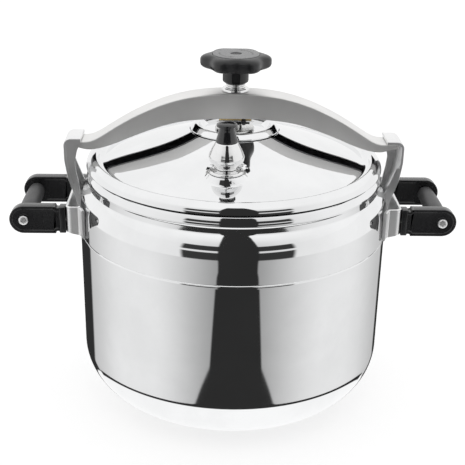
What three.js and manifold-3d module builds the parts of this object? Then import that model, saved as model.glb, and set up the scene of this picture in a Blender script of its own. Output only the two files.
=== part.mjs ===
// Bow-clamped pressure canner: spun pot, domed lid with gasket, swinging bow with
// clamp screw and knob, working valve, safety valve, side hooks and two side handles.
// Millimetres, +Z up, X along the bow, -Y is the front. The pot stands on z = 0.
import * as THREE from "three";
import { mergeVertices } from "three/addons/utils/BufferGeometryUtils.js";
import Module from "manifold-3d";

const wasm = await Module();
wasm.setup();

// ---------------------------------------------------------------- sizes
const GAP = 0.3; // air between neighbouring pieces
const SEG = 44; // facets round the pot and lid

const POT_R = 140; // widest radius, just above the seam
const POT_H = 215; // floor level to the top of the rim
const POT_WALL = 2.2; // sheet of the pot
const POT_TAPER = 0.6; // wall is narrower by this much at the foot
const BASE_CORNER_R = 44; // round between floor and wall
const SEAM_DROP = 57; // rim down to the line round the wall
const SEAM_Z = POT_H - SEAM_DROP;
const RIM_R = POT_R - 7.8; // outer radius of the pot rim
const NECK_R = RIM_R - 1.3; // groove under the rim
const NECK_Z = POT_H - 10.5;

const LID_WALL = 2.2;
const LID_CREST_R = RIM_R - 8.5; // ridge of the lid edge
const LID_CREST_Z = POT_H + 9;
const LID_GUTTER_R = LID_CREST_R - 5.7; // low ring at the foot of the cone
const LID_GUTTER_DEPTH = 4.4;
const CONE_SLOPE = 0.335; // rise of the lid for each millimetre inwards
const CONE_FOOT = 6; // gutter to the foot of the cone
const STEEP_REACH = 30.5; // ring outside the dish where the cone grows steeper
const STEEP_GAIN = 0.00108;
const PAD_DEPTH = 6.2; // thickened seat under each valve

const DISH_R = 39.5; // centre dish on the lid
const DISH_CREST_R = DISH_R - 5.5;
const DISH_H = 6.4; // seat of the dish up to its ridge
const DISH_PLATE = 2.4;

const SCREW_R = 7; // clamp screw
const SCREW_PITCH = 4;
const SCREW_TRAVEL = 4;
const SCREW_TOP_R = 5; // shank that carries the knob
const THREAD_CLEAR = 0.3;
const FOOT_R = 17.5; // pressure foot
const FOOT_T = 2.2;
const COLLAR_R = 9;
const BUSH_R = 12;

const HOOK_W = 30; // tab width along Y
const HOOK_T = 2.8;
const HOOK_TAB_Z = LID_CREST_Z + 16;
const HOOK_DROP = 64; // tab down to the foot of the hook
const HOOK_BEND = 6.5;

const BOW_HALF = POT_R + 6.5; // middle to the tip of the bow
const BOW_W = 25;
const BOW_T = 3;
const BOW_ABOVE = 37.7; // seat of the dish up to the crown of the bow
const BOW_TIP_Z = HOOK_TAB_Z - HOOK_T - 0.6; // flat tip, under the hook tab
const BOW_TIP_T = 3.6;
const BOW_FLANGE = 22.4; // depth of the channel in the middle
const HOOK_OUT = BOW_HALF + 4.8; // outer face of the hook wall
const HOOK_TAB_IN = BOW_HALF - 10.7; // inner edge of the tab, clear of the lid
const HOOK_FOOT_Z = HOOK_TAB_Z - HOOK_DROP;

const KNOB_R = 27.9; // mean radius of the lobes
const KNOB_LOBE = 3.4;
const KNOB_LOBES = 6;
const KNOB_HUB_R = 11.4;
const KNOB_HUB_H = 12.5;
const KNOB_H = 24.9;
const KNOB_CAP_R = 20.5;
const COLLAR_H = 7.6; // crown of the bow up to the knob

const VALVE_X = -8.6; // working valve, midway between dish and gutter
const VALVE_Y = -(DISH_R + LID_GUTTER_R) / 2;
const VALVE_BULB_R = 14.8;
const VALVE_PIPE_R = 4;
const BULB_H = 22.8;
const NECK_H = 12.2;
const SAFETY_Y = (DISH_R + LID_GUTTER_R) / 2 - 8; // safety valve behind the bow
const SAFETY_R = 8.5;

const HANDLE_Z = POT_H - 41; // axis of arms and grip
const BRACKET_X = POT_R + 8; // outer face of the bracket web
const BRACKET_T = 2.5;
const BRACKET_Z0 = HANDLE_Z - 11.6;
const BRACKET_Z1 = HANDLE_Z + 13;
const BRACKET_FOOT = 8;

const ARM_H = 25;
const ARM_T = 9.4;
const ARM_Y = 38; // middle plane of an arm
const BRACKET_Y = ARM_Y + 6.6; // half width across the legs
const ARM_END_X = BRACKET_X + 37; // centre of the round end
const COLLAR_L = 5.4;
const GRIP_R = 8;
const GRIP_WAIST = 0.9;
const BOLT_R = 2;
const BOLT_HEAD_R = 4.3;
const BOLT_HEAD_H = 2.6;

const RACK_R = POT_R - 24; // rack on the floor of the pot
const RACK_H = 12;

// ---------------------------------------------------------------- helpers
const group = new THREE.Group();

const FINISH = {
  mirror: { color: 0xd9dadb, roughness: 0.07, metalness: 1 },
  satin: { color: 0xb9babb, roughness: 0.32, metalness: 1 },
  black: { color: 0x1b1c1d, roughness: 0.4, metalness: 0 },
  grey: { color: 0x8f9294, roughness: 0.45, metalness: 0 },
  rubber: { color: 0x2a2a2c, roughness: 0.8, metalness: 0 },
  brass: { color: 0xb99a55, roughness: 0.35, metalness: 1 },
};

const add = (name, geometry, finish) => {
  const mesh = new THREE.Mesh(geometry, new THREE.MeshStandardMaterial(FINISH[finish]));
  mesh.name = name;
  group.add(mesh);
  return mesh;
};

const toSolid = (geometry) => {
  let g = geometry.clone();
  g.deleteAttribute("normal");
  if (g.attributes.uv) g.deleteAttribute("uv");
  g = mergeVertices(g, 1e-4);
  const mesh = new wasm.Mesh({
    numProp: 3,
    vertProperties: new Float32Array(g.attributes.position.array),
    triVerts: new Uint32Array(g.index.array),
  });
  return new wasm.Manifold(mesh);
};

const toGeometry = (solid) => {
  const mesh = solid.getMesh();
  const g = new THREE.BufferGeometry();
  g.setAttribute("position", new THREE.BufferAttribute(new Float32Array(mesh.vertProperties), 3));
  g.setIndex(new THREE.BufferAttribute(new Uint32Array(mesh.triVerts), 1));
  g.computeVertexNormals();
  return g;
};

// Ring or disc turned about the vertical axis from [radius, height] corners.
const turned = (corners, segments = SEG) => {
  const pts = corners.map(([r, z]) => new THREE.Vector2(r, z));
  const onAxis = corners[0][0] === 0;
  if (!onAxis) pts.push(pts[0].clone());
  const g = new THREE.LatheGeometry(pts, segments);
  g.rotateX(Math.PI / 2);
  let solid = toSolid(g);
  if (solid.volume() < 0) {
    const flipped = g.clone();
    const index = Array.from(flipped.index.array);
    for (let i = 0; i < index.length; i += 3) {
      const keep = index[i];
      index[i] = index[i + 1];
      index[i + 1] = keep;
    }
    flipped.setIndex(index);
    solid = toSolid(flipped);
  }
  return solid;
};

const disc = (r, z0, z1, segments = 32) =>
  turned([[0, z0], [r, z0], [r, z1], [0, z1]], segments);

const ring = (r0, r1, z0, z1, segments = 32) =>
  turned([[r0, z0], [r1, z0], [r1, z1], [r0, z1]], segments);

const box = (x0, x1, y0, y1, z0, z1) => {
  const g = new THREE.BoxGeometry(x1 - x0, y1 - y0, z1 - z0);
  g.translate((x0 + x1) / 2, (y0 + y1) / 2, (z0 + z1) / 2);
  return toSolid(g);
};

// Flat outline in X and Z, thickened along Y between y0 and y1.
const plateXZ = (outline, y0, y1, bevel = 0) => {
  const shape = new THREE.Shape(outline.map(([x, z]) => new THREE.Vector2(x, z)));
  const g = new THREE.ExtrudeGeometry(shape, {
    depth: y1 - y0 - 2 * bevel,
    bevelEnabled: bevel > 0,
    bevelThickness: bevel,
    bevelSize: bevel,
    bevelOffset: -bevel,
    bevelSegments: 1,
    curveSegments: 12,
  });
  g.rotateX(Math.PI / 2);
  g.translate(0, y1 - bevel, 0);
  return toSolid(g);
};

const pinX = (r, x0, x1, y, z, segments = 20) =>
  disc(r, 0, x1 - x0, segments).rotate([0, 90, 0]).translate([x0, y, z]);

const pinY = (r, y0, y1, x, z, segments = 20) =>
  disc(r, 0, y1 - y0, segments).rotate([-90, 0, 0]).translate([x, y0, z]);

const halfTurn = (solid) => solid.rotate([0, 0, 180]);

const arc = (cx, cz, r, a0, a1, steps) => {
  const pts = [];
  for (let i = 0; i <= steps; i += 1) {
    const a = ((a0 + ((a1 - a0) * i) / steps) * Math.PI) / 180;
    pts.push([cx + r * Math.cos(a), cz + r * Math.sin(a)]);
  }
  return pts;
};

// ---------------------------------------------------------------- pot
const FOOT_WALL_R = POT_R - POT_TAPER;
const cornerX = FOOT_WALL_R - BASE_CORNER_R;

const potSkin = (out) => [
  ...arc(cornerX, BASE_CORNER_R, BASE_CORNER_R + out, -90, 0, 5),
  [POT_R - 0.5 + out, SEAM_Z - 1],
  [POT_R + out, SEAM_Z],
  [POT_R - 0.1 + out, SEAM_Z + 12],
  [POT_R - 0.4 + out, SEAM_Z + 21],
  [POT_R - 0.8 + out, SEAM_Z + 25],
  [POT_R - 1.6 + out, SEAM_Z + 29],
  [POT_R - 2.9 + out, SEAM_Z + 32.5],
  [POT_R - 4.7 + out, SEAM_Z + 35.6],
  [NECK_R + 2.5 + out, NECK_Z - 7.5],
  [NECK_R + 0.8 + out, NECK_Z - 3.9],
  [NECK_R + out, NECK_Z - 0.6],
  [NECK_R + 0.2 + out, NECK_Z + 0.9],
  [NECK_R + 0.85 + out, NECK_Z + 4.7],
];

const potRim = [
  [RIM_R, POT_H - 4.4],
  [RIM_R + 0.1, POT_H - 2.8],
  [RIM_R - 0.8, POT_H - 1],
  [RIM_R - 2.6, POT_H - 0.2],
  [RIM_R - 4.6, POT_H - 0.8],
  [RIM_R - 5, POT_H - 3],
];

const potInner = potSkin(-POT_WALL).reverse();
const potBody = turned([[0, 0], ...potSkin(0), ...potRim, ...potInner, [0, POT_WALL]]);
add("pot_body", toGeometry(potBody), "mirror");

// Everything within the pot's outside, with a fitting gap, to trim what is welded on.
const potEnvelope = turned([[0, -GAP], ...potSkin(GAP), [RIM_R + GAP, POT_H - 4.4],
  [RIM_R + GAP, POT_H], [0, POT_H]]);

// ---------------------------------------------------------------- rack
const rackPlate = disc(RACK_R, POT_WALL + GAP + RACK_H - 1.6, POT_WALL + GAP + RACK_H, 36);
const rackFoot = ring(RACK_R - 28, RACK_R - 26, POT_WALL + GAP, POT_WALL + GAP + RACK_H - 1, 36);
let rack = rackPlate.add(rackFoot);
const RACK_OUT = RACK_R - 46;
const RACK_IN = 36;
const rackDrill = disc(8, POT_WALL + RACK_H - 4, POT_WALL + RACK_H + 4, 10);
for (let i = 0; i < 8; i += 1) {
  const a = (i * Math.PI) / 4;
  rack = rack.subtract(rackDrill.translate([RACK_OUT * Math.cos(a), RACK_OUT * Math.sin(a), 0]));
}
for (let i = 0; i < 4; i += 1) {
  const a = (i * Math.PI) / 2 + Math.PI / 8;
  rack = rack.subtract(rackDrill.translate([RACK_IN * Math.cos(a), RACK_IN * Math.sin(a), 0]));
}
rack = rack.subtract(rackDrill);
add("canning_rack", toGeometry(rack), "satin");

// ---------------------------------------------------------------- lid
const gutterZ = LID_CREST_Z - LID_GUTTER_DEPTH;
const coneFootR = LID_GUTTER_R - CONE_FOOT;
const steepR = DISH_R + STEEP_REACH;
const coneZ = (r) => gutterZ + 1.6 + CONE_SLOPE * (coneFootR - r)
  + STEEP_GAIN * Math.max(0, steepR - r) ** 2;
const coneTopR = DISH_R + 0.8;
const DISH_SEAT_Z = coneZ(coneTopR) - 2.6; // flat pressed in the middle of the lid
const coneLine = [];
for (let i = 0; i <= 5; i += 1) {
  const r = i < 4 ? coneTopR + ((steepR - coneTopR) * i) / 3 : steepR + (coneFootR - steepR) * (i - 3) / 2;
  coneLine.push([r, coneZ(r)]);
}

const lidTop = (drop) => [
  [0, DISH_SEAT_Z - drop],
  [DISH_R - 1, DISH_SEAT_Z - drop],
  ...coneLine.map(([r, z]) => [r, z - drop]),
  [LID_GUTTER_R - 3, gutterZ + 0.5 - drop],
  [LID_GUTTER_R - 0.8 - drop * 0.2, gutterZ - drop],
  [LID_GUTTER_R + 1.4 + drop * 0.2, gutterZ + 0.2 - drop],
  [LID_GUTTER_R + 4 + drop * 0.3, gutterZ + 3 - drop],
];

const lidEdge = [
  [LID_CREST_R, LID_CREST_Z],
  [LID_CREST_R + 3.4, LID_CREST_Z - 0.7],
  [LID_CREST_R + 6.4, LID_CREST_Z - 2.9],
  [LID_CREST_R + 8.4, LID_CREST_Z - 6],
  [LID_CREST_R + 8.8, LID_CREST_Z - 8],
  [LID_CREST_R + 6.8, LID_CREST_Z - 8],
  [LID_CREST_R + 6.5, LID_CREST_Z - 6],
  [LID_CREST_R + 5.2, LID_CREST_Z - 4.2],
  [LID_CREST_R + 3.2, LID_CREST_Z - 2.9],
  [LID_CREST_R + 0.2, LID_CREST_Z - LID_WALL],
];

let lid = turned([...lidTop(0), ...lidEdge, ...lidTop(LID_WALL).reverse()]);
const coreZ = LID_CREST_Z - 24;
const coneCore = turned([[0, coreZ], [LID_GUTTER_R - 0.8, coreZ], ...lidTop(0).slice(1, -2).reverse(),
  [0, DISH_SEAT_Z]]);
const padTop = (y) => coneZ(Math.abs(y)) + 0.4;
const PADS = [
  { x: VALVE_X, y: VALVE_Y, r: 15.5, bore: VALVE_PIPE_R + GAP },
  { x: 0, y: SAFETY_Y, r: 12, bore: 5.3 },
];
PADS.forEach((pad) => {
  const top = padTop(pad.y);
  const plug = disc(pad.r + 2, top - LID_WALL - PAD_DEPTH, top + 8, 32).translate([pad.x, pad.y, 0]);
  const boss = disc(pad.r, top - LID_WALL - PAD_DEPTH, top, 32).translate([pad.x, pad.y, 0]);
  const pocket = disc(pad.r + 0.2, top, top + 20, 32).translate([pad.x, pad.y, 0]);
  const bore = disc(pad.bore, top - 30, top + 30, 20).translate([pad.x, pad.y, 0]);
  lid = lid.add(plug.intersect(coneCore)).add(boss).subtract(pocket).subtract(bore);
});
add("lid", toGeometry(lid), "mirror");

const gasketZ = POT_H - 0.2 + GAP;
const gasket = ring(RIM_R - 8.6, RIM_R - 3.4, gasketZ, LID_CREST_Z - 5.2, SEG);
add("lid_gasket", toGeometry(gasket), "rubber");

const dishFloor = DISH_SEAT_Z + GAP;
const dishTop = dishFloor + DISH_PLATE;
const dish = turned([
  [0, dishFloor],
  [DISH_R - 2.4, dishFloor],
  [DISH_R - 1.6, dishFloor + 0.6],
  [DISH_R, coneZ(DISH_R) + 1.1],
  [DISH_R, coneZ(DISH_R) + 2.1],
  [DISH_CREST_R + 3, dishFloor + DISH_H],
  [DISH_CREST_R + 1, dishFloor + DISH_H + 1.8],
  [DISH_CREST_R - 1, dishFloor + DISH_H + 1.6],
  [DISH_CREST_R - 3, dishFloor + DISH_H - 1],
  [DISH_CREST_R - 6, dishTop + 0.4],
  [DISH_CREST_R - 9, dishTop],
  [0, dishTop],
], 40);
add("lid_centre_dish", toGeometry(dish), "mirror");

// ---------------------------------------------------------------- bow
const BOW_TOP_Z = DISH_SEAT_Z + BOW_ABOVE;
const bowFall = BOW_TOP_Z - BOW_TIP_Z;
const skirtZ = BOW_TOP_Z - BOW_FLANGE;
const skirtFall = skirtZ - (BOW_TIP_Z - BOW_TIP_T);
const armX = BOW_HALF - 12.5; // where the flat tip begins
// Shape of the bow from crown to tip, as shares of its reach and of its fall.
const bowCurve = [
  [0, 0], [0.104, 0.006], [0.209, 0.031], [0.299, 0.072], [0.396, 0.141], [0.493, 0.237],
  [0.59, 0.362], [0.689, 0.512], [0.776, 0.667], [0.849, 0.805], [0.91, 0.922], [0.955, 0.98],
];
const skirtCurve = [
  [0.971, 1.139], [0.91, 1.108], [0.854, 1.031], [0.776, 0.884], [0.687, 0.683], [0.545, 0.398],
  [0.418, 0.189], [0.313, 0.085], [0.209, 0.031],
];
const bowTop = bowCurve.map(([u, v]) => [u * armX, BOW_TOP_Z - v * bowFall])
  .concat([[armX, BOW_TIP_Z], [BOW_HALF, BOW_TIP_Z]]);
const bowLow = [[BOW_HALF, BOW_TIP_Z - BOW_TIP_T], [armX + 4, BOW_TIP_Z - BOW_TIP_T - 2]]
  .concat(skirtCurve.map(([u, v]) => [u * armX, skirtZ - v * skirtFall]))
  .concat([[12, skirtZ]]);
const mirrorX = (pts) => pts.map(([x, z]) => [-x, z]).reverse();
const fullBow = [
  ...bowTop,
  ...bowLow,
  ...mirrorX(bowLow),
  ...mirrorX(bowTop).slice(0, -1),
];
const bowSolid = plateXZ(fullBow.slice().reverse(), -BOW_W / 2, BOW_W / 2, 0.9);
const solidX = armX - 3;
const innerTop = bowTop.filter(([x]) => x < solidX).map(([x, z]) => [x, z - BOW_T]);
const innerBow = [
  ...innerTop,
  [solidX, BOW_TIP_Z - BOW_TIP_T - 0.2],
  [solidX, BOW_TIP_Z - 40],
  [-solidX, BOW_TIP_Z - 40],
  [-solidX, BOW_TIP_Z - BOW_TIP_T - 0.2],
  ...mirrorX(innerTop).slice(0, -1),
];
const bowInside = plateXZ(innerBow.slice().reverse(), -BOW_W / 2 + BOW_T, BOW_W / 2 - BOW_T);
const bowHole = disc(SCREW_R + THREAD_CLEAR, BOW_TOP_Z - 40, BOW_TOP_Z + 20, 24);
const bow = bowSolid.subtract(bowInside).subtract(bowHole);
add("bow", toGeometry(bow), "satin");

const inY = BOW_W / 2 - BOW_T - GAP;
const saddleTop = BOW_TOP_Z - BOW_T - 2.2;
const saddleLow = dishTop + FOOT_T + GAP + SCREW_TRAVEL + 0.6;
const NUT_HALF = 14;
const nutTop = saddleTop - 0.2;
const saddle = plateXZ([[-23, saddleLow], [23, saddleLow], [31, saddleLow + 7],
  [27, saddleTop - 1.8], [-27, saddleTop - 1.8], [-31, saddleLow + 7]], -inY, inY);
const nutRoom = box(-NUT_HALF - GAP, NUT_HALF + GAP, -inY - 1, inY + 1,
  saddleLow + 3, saddleTop + 2);
const saddleSolid = saddle.subtract(nutRoom).subtract(bowHole);
add("bow_saddle", toGeometry(saddleSolid), "mirror");

const nutBlock = box(-NUT_HALF, NUT_HALF, -inY, inY, saddleLow + 3 + GAP, nutTop);
const screwNut = nutBlock.subtract(bowHole);
add("screw_nut", toGeometry(screwNut), "brass");

const lockX = 7.5;
const lockZ = saddleLow + 2.2;
const lockScrew = pinY(1.5, -inY - 2.2, -inY - GAP, lockX, lockZ, 12)
  .add(pinY(2.2, -inY - 3.6, -inY - 2, lockX, lockZ, 12));
add("saddle_lock_screw", toGeometry(lockScrew), "black");

const bushBase = BOW_TOP_Z + GAP + 0.1;
const bush = ring(SCREW_R + THREAD_CLEAR, BUSH_R, bushBase, bushBase + 2.8, 32);
add("bow_bush", toGeometry(bush), "mirror");

// ---------------------------------------------------------------- clamp screw and knob
const footZ = dishTop + GAP;
const foot = turned([
  [0, footZ],
  [FOOT_R - 1, footZ],
  [FOOT_R, footZ + 0.8],
  [FOOT_R - 0.6, footZ + FOOT_T - 0.3],
  [FOOT_R - 3, footZ + FOOT_T],
  [SCREW_R - 0.3, footZ + FOOT_T],
  [SCREW_R - 0.3, footZ + FOOT_T + 3],
  [4.6, footZ + FOOT_T + 3],
  [4.6, footZ + FOOT_T - 0.6],
  [0, footZ + FOOT_T - 0.6],
], 28);
add("pressure_foot", toGeometry(foot), "satin");

const collarZ = bushBase + 2.8 + GAP;
const KNOB_BASE_Z = BOW_TOP_Z + COLLAR_H;
const KNOB_WEB_Z = KNOB_BASE_Z + KNOB_HUB_H;
const KNOB_TOP_Z = KNOB_BASE_Z + KNOB_H;
const screwTop = KNOB_TOP_Z - 3;
const footTopZ = footZ + FOOT_T + 3;
const spindle = turned([
  [0, footZ + FOOT_T - 0.3],
  [3.1, footZ + FOOT_T - 0.3],
  [3.1, footTopZ + GAP],
  [SCREW_R - 1, footTopZ + GAP],
  [SCREW_R, footTopZ + GAP + 1],
  [SCREW_R, collarZ],
  [COLLAR_R - 0.6, collarZ],
  [COLLAR_R, collarZ + 0.7],
  [COLLAR_R, KNOB_BASE_Z - GAP - 0.7],
  [COLLAR_R - 0.7, KNOB_BASE_Z - GAP],
  [SCREW_TOP_R, KNOB_BASE_Z - GAP],
  [SCREW_TOP_R, screwTop],
  [0, screwTop],
], 24);
add("clamp_screw", toGeometry(spindle), "mirror");

const clip = ring(3.1 + GAP, 4.6 - GAP, footZ + FOOT_T + 0.6, footZ + FOOT_T + 1.8, 20);
add("foot_clip", toGeometry(clip), "brass");

// Closed skin through rings of points; each level is [height, mean radius, lobe height].
const lobed = (levels, lobes, phase, steps) => {
  const pos = [];
  const index = [];
  levels.forEach(([z, r, lobe]) => {
    for (let i = 0; i < steps; i += 1) {
      const a = (i / steps) * Math.PI * 2;
      const rr = r + lobe * Math.cos(lobes * (a - phase));
      pos.push(rr * Math.cos(a), rr * Math.sin(a), z);
    }
  });
  for (let k = 0; k + 1 < levels.length; k += 1) {
    for (let i = 0; i < steps; i += 1) {
      const j = (i + 1) % steps;
      const a = k * steps + i;
      const b = k * steps + j;
      index.push(a, b, b + steps, a, b + steps, a + steps);
    }
  }
  const low = pos.length / 3;
  pos.push(0, 0, levels[0][0]);
  pos.push(0, 0, levels[levels.length - 1][0]);
  const last = (levels.length - 1) * steps;
  for (let i = 0; i < steps; i += 1) {
    const j = (i + 1) % steps;
    index.push(low, j, i, low + 1, last + i, last + j);
  }
  const g = new THREE.BufferGeometry();
  g.setAttribute("position", new THREE.BufferAttribute(new Float32Array(pos), 3));
  g.setIndex(index);
  return toSolid(g);
};

const knobSkin = lobed([
  [KNOB_BASE_Z, KNOB_HUB_R - 2, 0],
  [KNOB_BASE_Z + 2.2, KNOB_HUB_R, 0],
  [KNOB_WEB_Z - 1.2, KNOB_HUB_R, 0],
  [KNOB_WEB_Z + 0.3, KNOB_HUB_R + 3, 0.4],
  [KNOB_WEB_Z + 0.6, KNOB_R - 3.4, KNOB_LOBE * 0.9],
  [KNOB_WEB_Z + 2.2, KNOB_R - 0.8, KNOB_LOBE],
  [KNOB_WEB_Z + 4.4, KNOB_R, KNOB_LOBE],
  [KNOB_TOP_Z - 4, KNOB_R, KNOB_LOBE],
  [KNOB_TOP_Z - 1.6, KNOB_R - 1.1, KNOB_LOBE * 0.95],
  [KNOB_TOP_Z - 0.3, KNOB_R - 3.4, KNOB_LOBE * 0.7],
  [KNOB_TOP_Z, KNOB_R - 5.4, KNOB_LOBE * 0.4],
], KNOB_LOBES, 0, 48);
const capSeat = KNOB_TOP_Z - 1.3;
const aboveKnob = KNOB_TOP_Z + 10;
const knob = knobSkin
  .subtract(disc(SCREW_TOP_R + GAP, KNOB_BASE_Z - 5, aboveKnob, 24))
  .subtract(disc(9.5, screwTop - 4.6, aboveKnob, 24))
  .subtract(disc(KNOB_CAP_R + GAP, capSeat, aboveKnob, 40))
  .subtract(box(-3.6, 3.6, -KNOB_HUB_R - 1, -KNOB_HUB_R + 1.4, KNOB_BASE_Z + 1, KNOB_WEB_Z - 1.5));
add("knob", toGeometry(knob), "black");

const capDisc = turned([
  [0, capSeat + GAP],
  [KNOB_CAP_R, capSeat + GAP],
  [KNOB_CAP_R, KNOB_TOP_Z],
  [KNOB_CAP_R - 0.8, KNOB_TOP_Z + 0.4],
  [5.6, KNOB_TOP_Z + 0.4],
  [4.6, KNOB_TOP_Z - 0.3],
  [0, KNOB_TOP_Z - 0.3],
], 32);
add("knob_cap", toGeometry(capDisc), "grey");

const knobNut = disc(8.6, screwTop - 4.3, screwTop + 0.8, 6)
  .subtract(disc(SCREW_TOP_R + GAP, KNOB_BASE_Z, aboveKnob, 24));
add("knob_nut", toGeometry(knobNut), "satin");

// ---------------------------------------------------------------- working valve
const atValve = (solid) => solid.translate([VALVE_X, VALVE_Y, 0]);
const valvePad = padTop(VALVE_Y);
const flangeZ = valvePad + GAP;
const ventBase = turned([
  [VALVE_PIPE_R + GAP, flangeZ],
  [14.2, flangeZ],
  [14.6, flangeZ + 1.2],
  [13.6, flangeZ + 2.4],
  [10.4, flangeZ + 2.7],
  [8.6, flangeZ + 3],
  [VALVE_PIPE_R + GAP, flangeZ + 3],
], 28);
add("vent_base_nut", toGeometry(atValve(ventBase)), "mirror");

const pipeTop = flangeZ + 19;
const pipe = turned([
  [1.6, valvePad - 17],
  [VALVE_PIPE_R, valvePad - 17],
  [VALVE_PIPE_R, pipeTop - 3],
  [2.6, pipeTop],
  [1.6, pipeTop],
], 20);
add("vent_pipe", toGeometry(atValve(pipe)), "brass");

const underPad = valvePad - LID_WALL - PAD_DEPTH;
const ventNut = disc(7.6, underPad - GAP - 5, underPad - GAP, 6)
  .subtract(disc(VALVE_PIPE_R + GAP, underPad - 20, underPad + 20, 20));
add("vent_inner_nut", toGeometry(atValve(ventNut)), "brass");

const bulbZ = flangeZ + 3 + GAP;
const weightBore = [[VALVE_PIPE_R + 0.5, pipeTop + 1.5], [0, pipeTop + 1.5]];
const bulb = turned([
  [VALVE_PIPE_R + 0.5, bulbZ],
  [8.4, bulbZ],
  [8.8, bulbZ + 1.6],
  [11.4, bulbZ + 4],
  [14.1, bulbZ + 7],
  [VALVE_BULB_R, bulbZ + 10],
  [VALVE_BULB_R - 0.5, bulbZ + 12.4],
  [VALVE_BULB_R - 2.2, bulbZ + 16.6],
  [VALVE_BULB_R - 4.4, bulbZ + 20.6],
  [8.8, bulbZ + BULB_H],
  [0, bulbZ + BULB_H],
  ...weightBore.slice().reverse(),
], 30);
add("weight_body", toGeometry(atValve(bulb)), "mirror");

const neckZ = bulbZ + BULB_H + GAP;
const neck = turned([
  [0, neckZ],
  [8.8, neckZ],
  [8.9, neckZ + 1.2],
  [7.6, neckZ + 6],
  [6.3, neckZ + NECK_H],
  [0, neckZ + NECK_H],
], 24);
add("weight_neck", toGeometry(atValve(neck)), "black");

const capZ = neckZ + NECK_H + GAP;
const cap = turned([
  [0, capZ],
  [7.6, capZ],
  [8.6, capZ + 1],
  [8.5, capZ + 2],
  [6.8, capZ + 3.2],
  [3.4, capZ + 3.9],
  [0, capZ + 4.1],
], 24);
add("weight_cap", toGeometry(atValve(cap)), "black");

// ---------------------------------------------------------------- safety valve
const atSafety = (solid) => solid.translate([0, SAFETY_Y, 0]);
const safetyPad = padTop(SAFETY_Y);
const safetyBody = turned([
  [2.4, safetyPad - 15],
  [5, safetyPad - 15],
  [5, safetyPad + GAP],
  [10.4, safetyPad + GAP],
  [10.4, safetyPad + 3],
  [SAFETY_R, safetyPad + 3.6],
  [SAFETY_R, safetyPad + 7],
  [SAFETY_R - 1.4, safetyPad + 8],
  [2.4, safetyPad + 8],
], 28);
add("safety_valve_body", toGeometry(atSafety(safetyBody)), "mirror");
const safetyPin = turned([
  [0, safetyPad - 8],
  [2, safetyPad - 8],
  [2, safetyPad + 8 + GAP],
  [3.4, safetyPad + 8 + GAP],
  [3.4, safetyPad + 10],
  [0, safetyPad + 10.4],
], 20);
add("safety_valve_pin", toGeometry(atSafety(safetyPin)), "black");
const safetyLow = safetyPad - LID_WALL - PAD_DEPTH - GAP;
const safetyNut = disc(9, safetyLow - 4, safetyLow, 6)
  .subtract(disc(5 + GAP, safetyLow - 20, safetyLow + 20, 20));
add("safety_valve_nut", toGeometry(atSafety(safetyNut)), "brass");

// ---------------------------------------------------------------- hooks
const tabIn = -HOOK_TAB_IN;
const out = -HOOK_OUT;
const bendX = out + HOOK_BEND;
const bendZ = HOOK_TAB_Z - HOOK_BEND;
const hookBack = [
  [tabIn, HOOK_TAB_Z],
  ...arc(bendX, bendZ, HOOK_BEND, 90, 180, 5),
  [out, HOOK_TAB_Z - 19],
  [out + 2.2, HOOK_TAB_Z - 34],
  [out + 6.6, HOOK_TAB_Z - 50],
  [out + 11, HOOK_FOOT_Z],
];
const hookDeep = out + 31; // inside the pot's wall, trimmed off later
const strapOutline = [
  [tabIn, HOOK_TAB_Z - HOOK_T],
  ...hookBack,
  [hookDeep, HOOK_FOOT_Z],
  [hookDeep, HOOK_FOOT_Z + 10],
  [out + 11.2, HOOK_FOOT_Z + 10],
  [out + 9, HOOK_TAB_Z - 49],
  [out + 2.2 + HOOK_T, HOOK_TAB_Z - 33],
  [out + HOOK_T, HOOK_TAB_Z - 19],
  ...arc(bendX, bendZ, HOOK_BEND - HOOK_T, 180, 90, 4),
];
const stopOutline = [
  [tabIn, HOOK_TAB_Z - HOOK_T + 0.4],
  ...hookBack,
  [out + 17.3, HOOK_FOOT_Z],
  [out + 13.2, HOOK_TAB_Z - 50],
  [out + 12, HOOK_TAB_Z - 40],
  [out + 10.4, HOOK_TAB_Z - 32],
  [out + 9.4, HOOK_TAB_Z - 22],
  [out + 11.6, HOOK_TAB_Z - 12],
];
const gussetOutline = [
  [out + 1, HOOK_TAB_Z - 22],
  [out + 2.4, HOOK_TAB_Z - 34],
  [out + 6.8, HOOK_TAB_Z - 50],
  [out + 11, HOOK_FOOT_Z],
  [hookDeep, HOOK_FOOT_Z],
  [hookDeep, HOOK_TAB_Z - 47],
  [out + 16.7, HOOK_TAB_Z - 46],
  [out + 6, HOOK_TAB_Z - 24],
];
const hookHalf = HOOK_W / 2;
const bowClear = BOW_W / 2 + GAP + 0.2;
const strap = plateXZ(strapOutline.slice().reverse(), -hookHalf, hookHalf, 0.4);
const stopWall = plateXZ(stopOutline.slice().reverse(), -hookHalf, -bowClear);
const gusset = plateXZ(gussetOutline.slice(), hookHalf - 2.2, hookHalf);
const hook = strap.add(stopWall).add(gusset).subtract(potEnvelope);
add("hook_left", toGeometry(hook), "mirror");
add("hook_right", toGeometry(halfTurn(hook)), "mirror");

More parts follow.
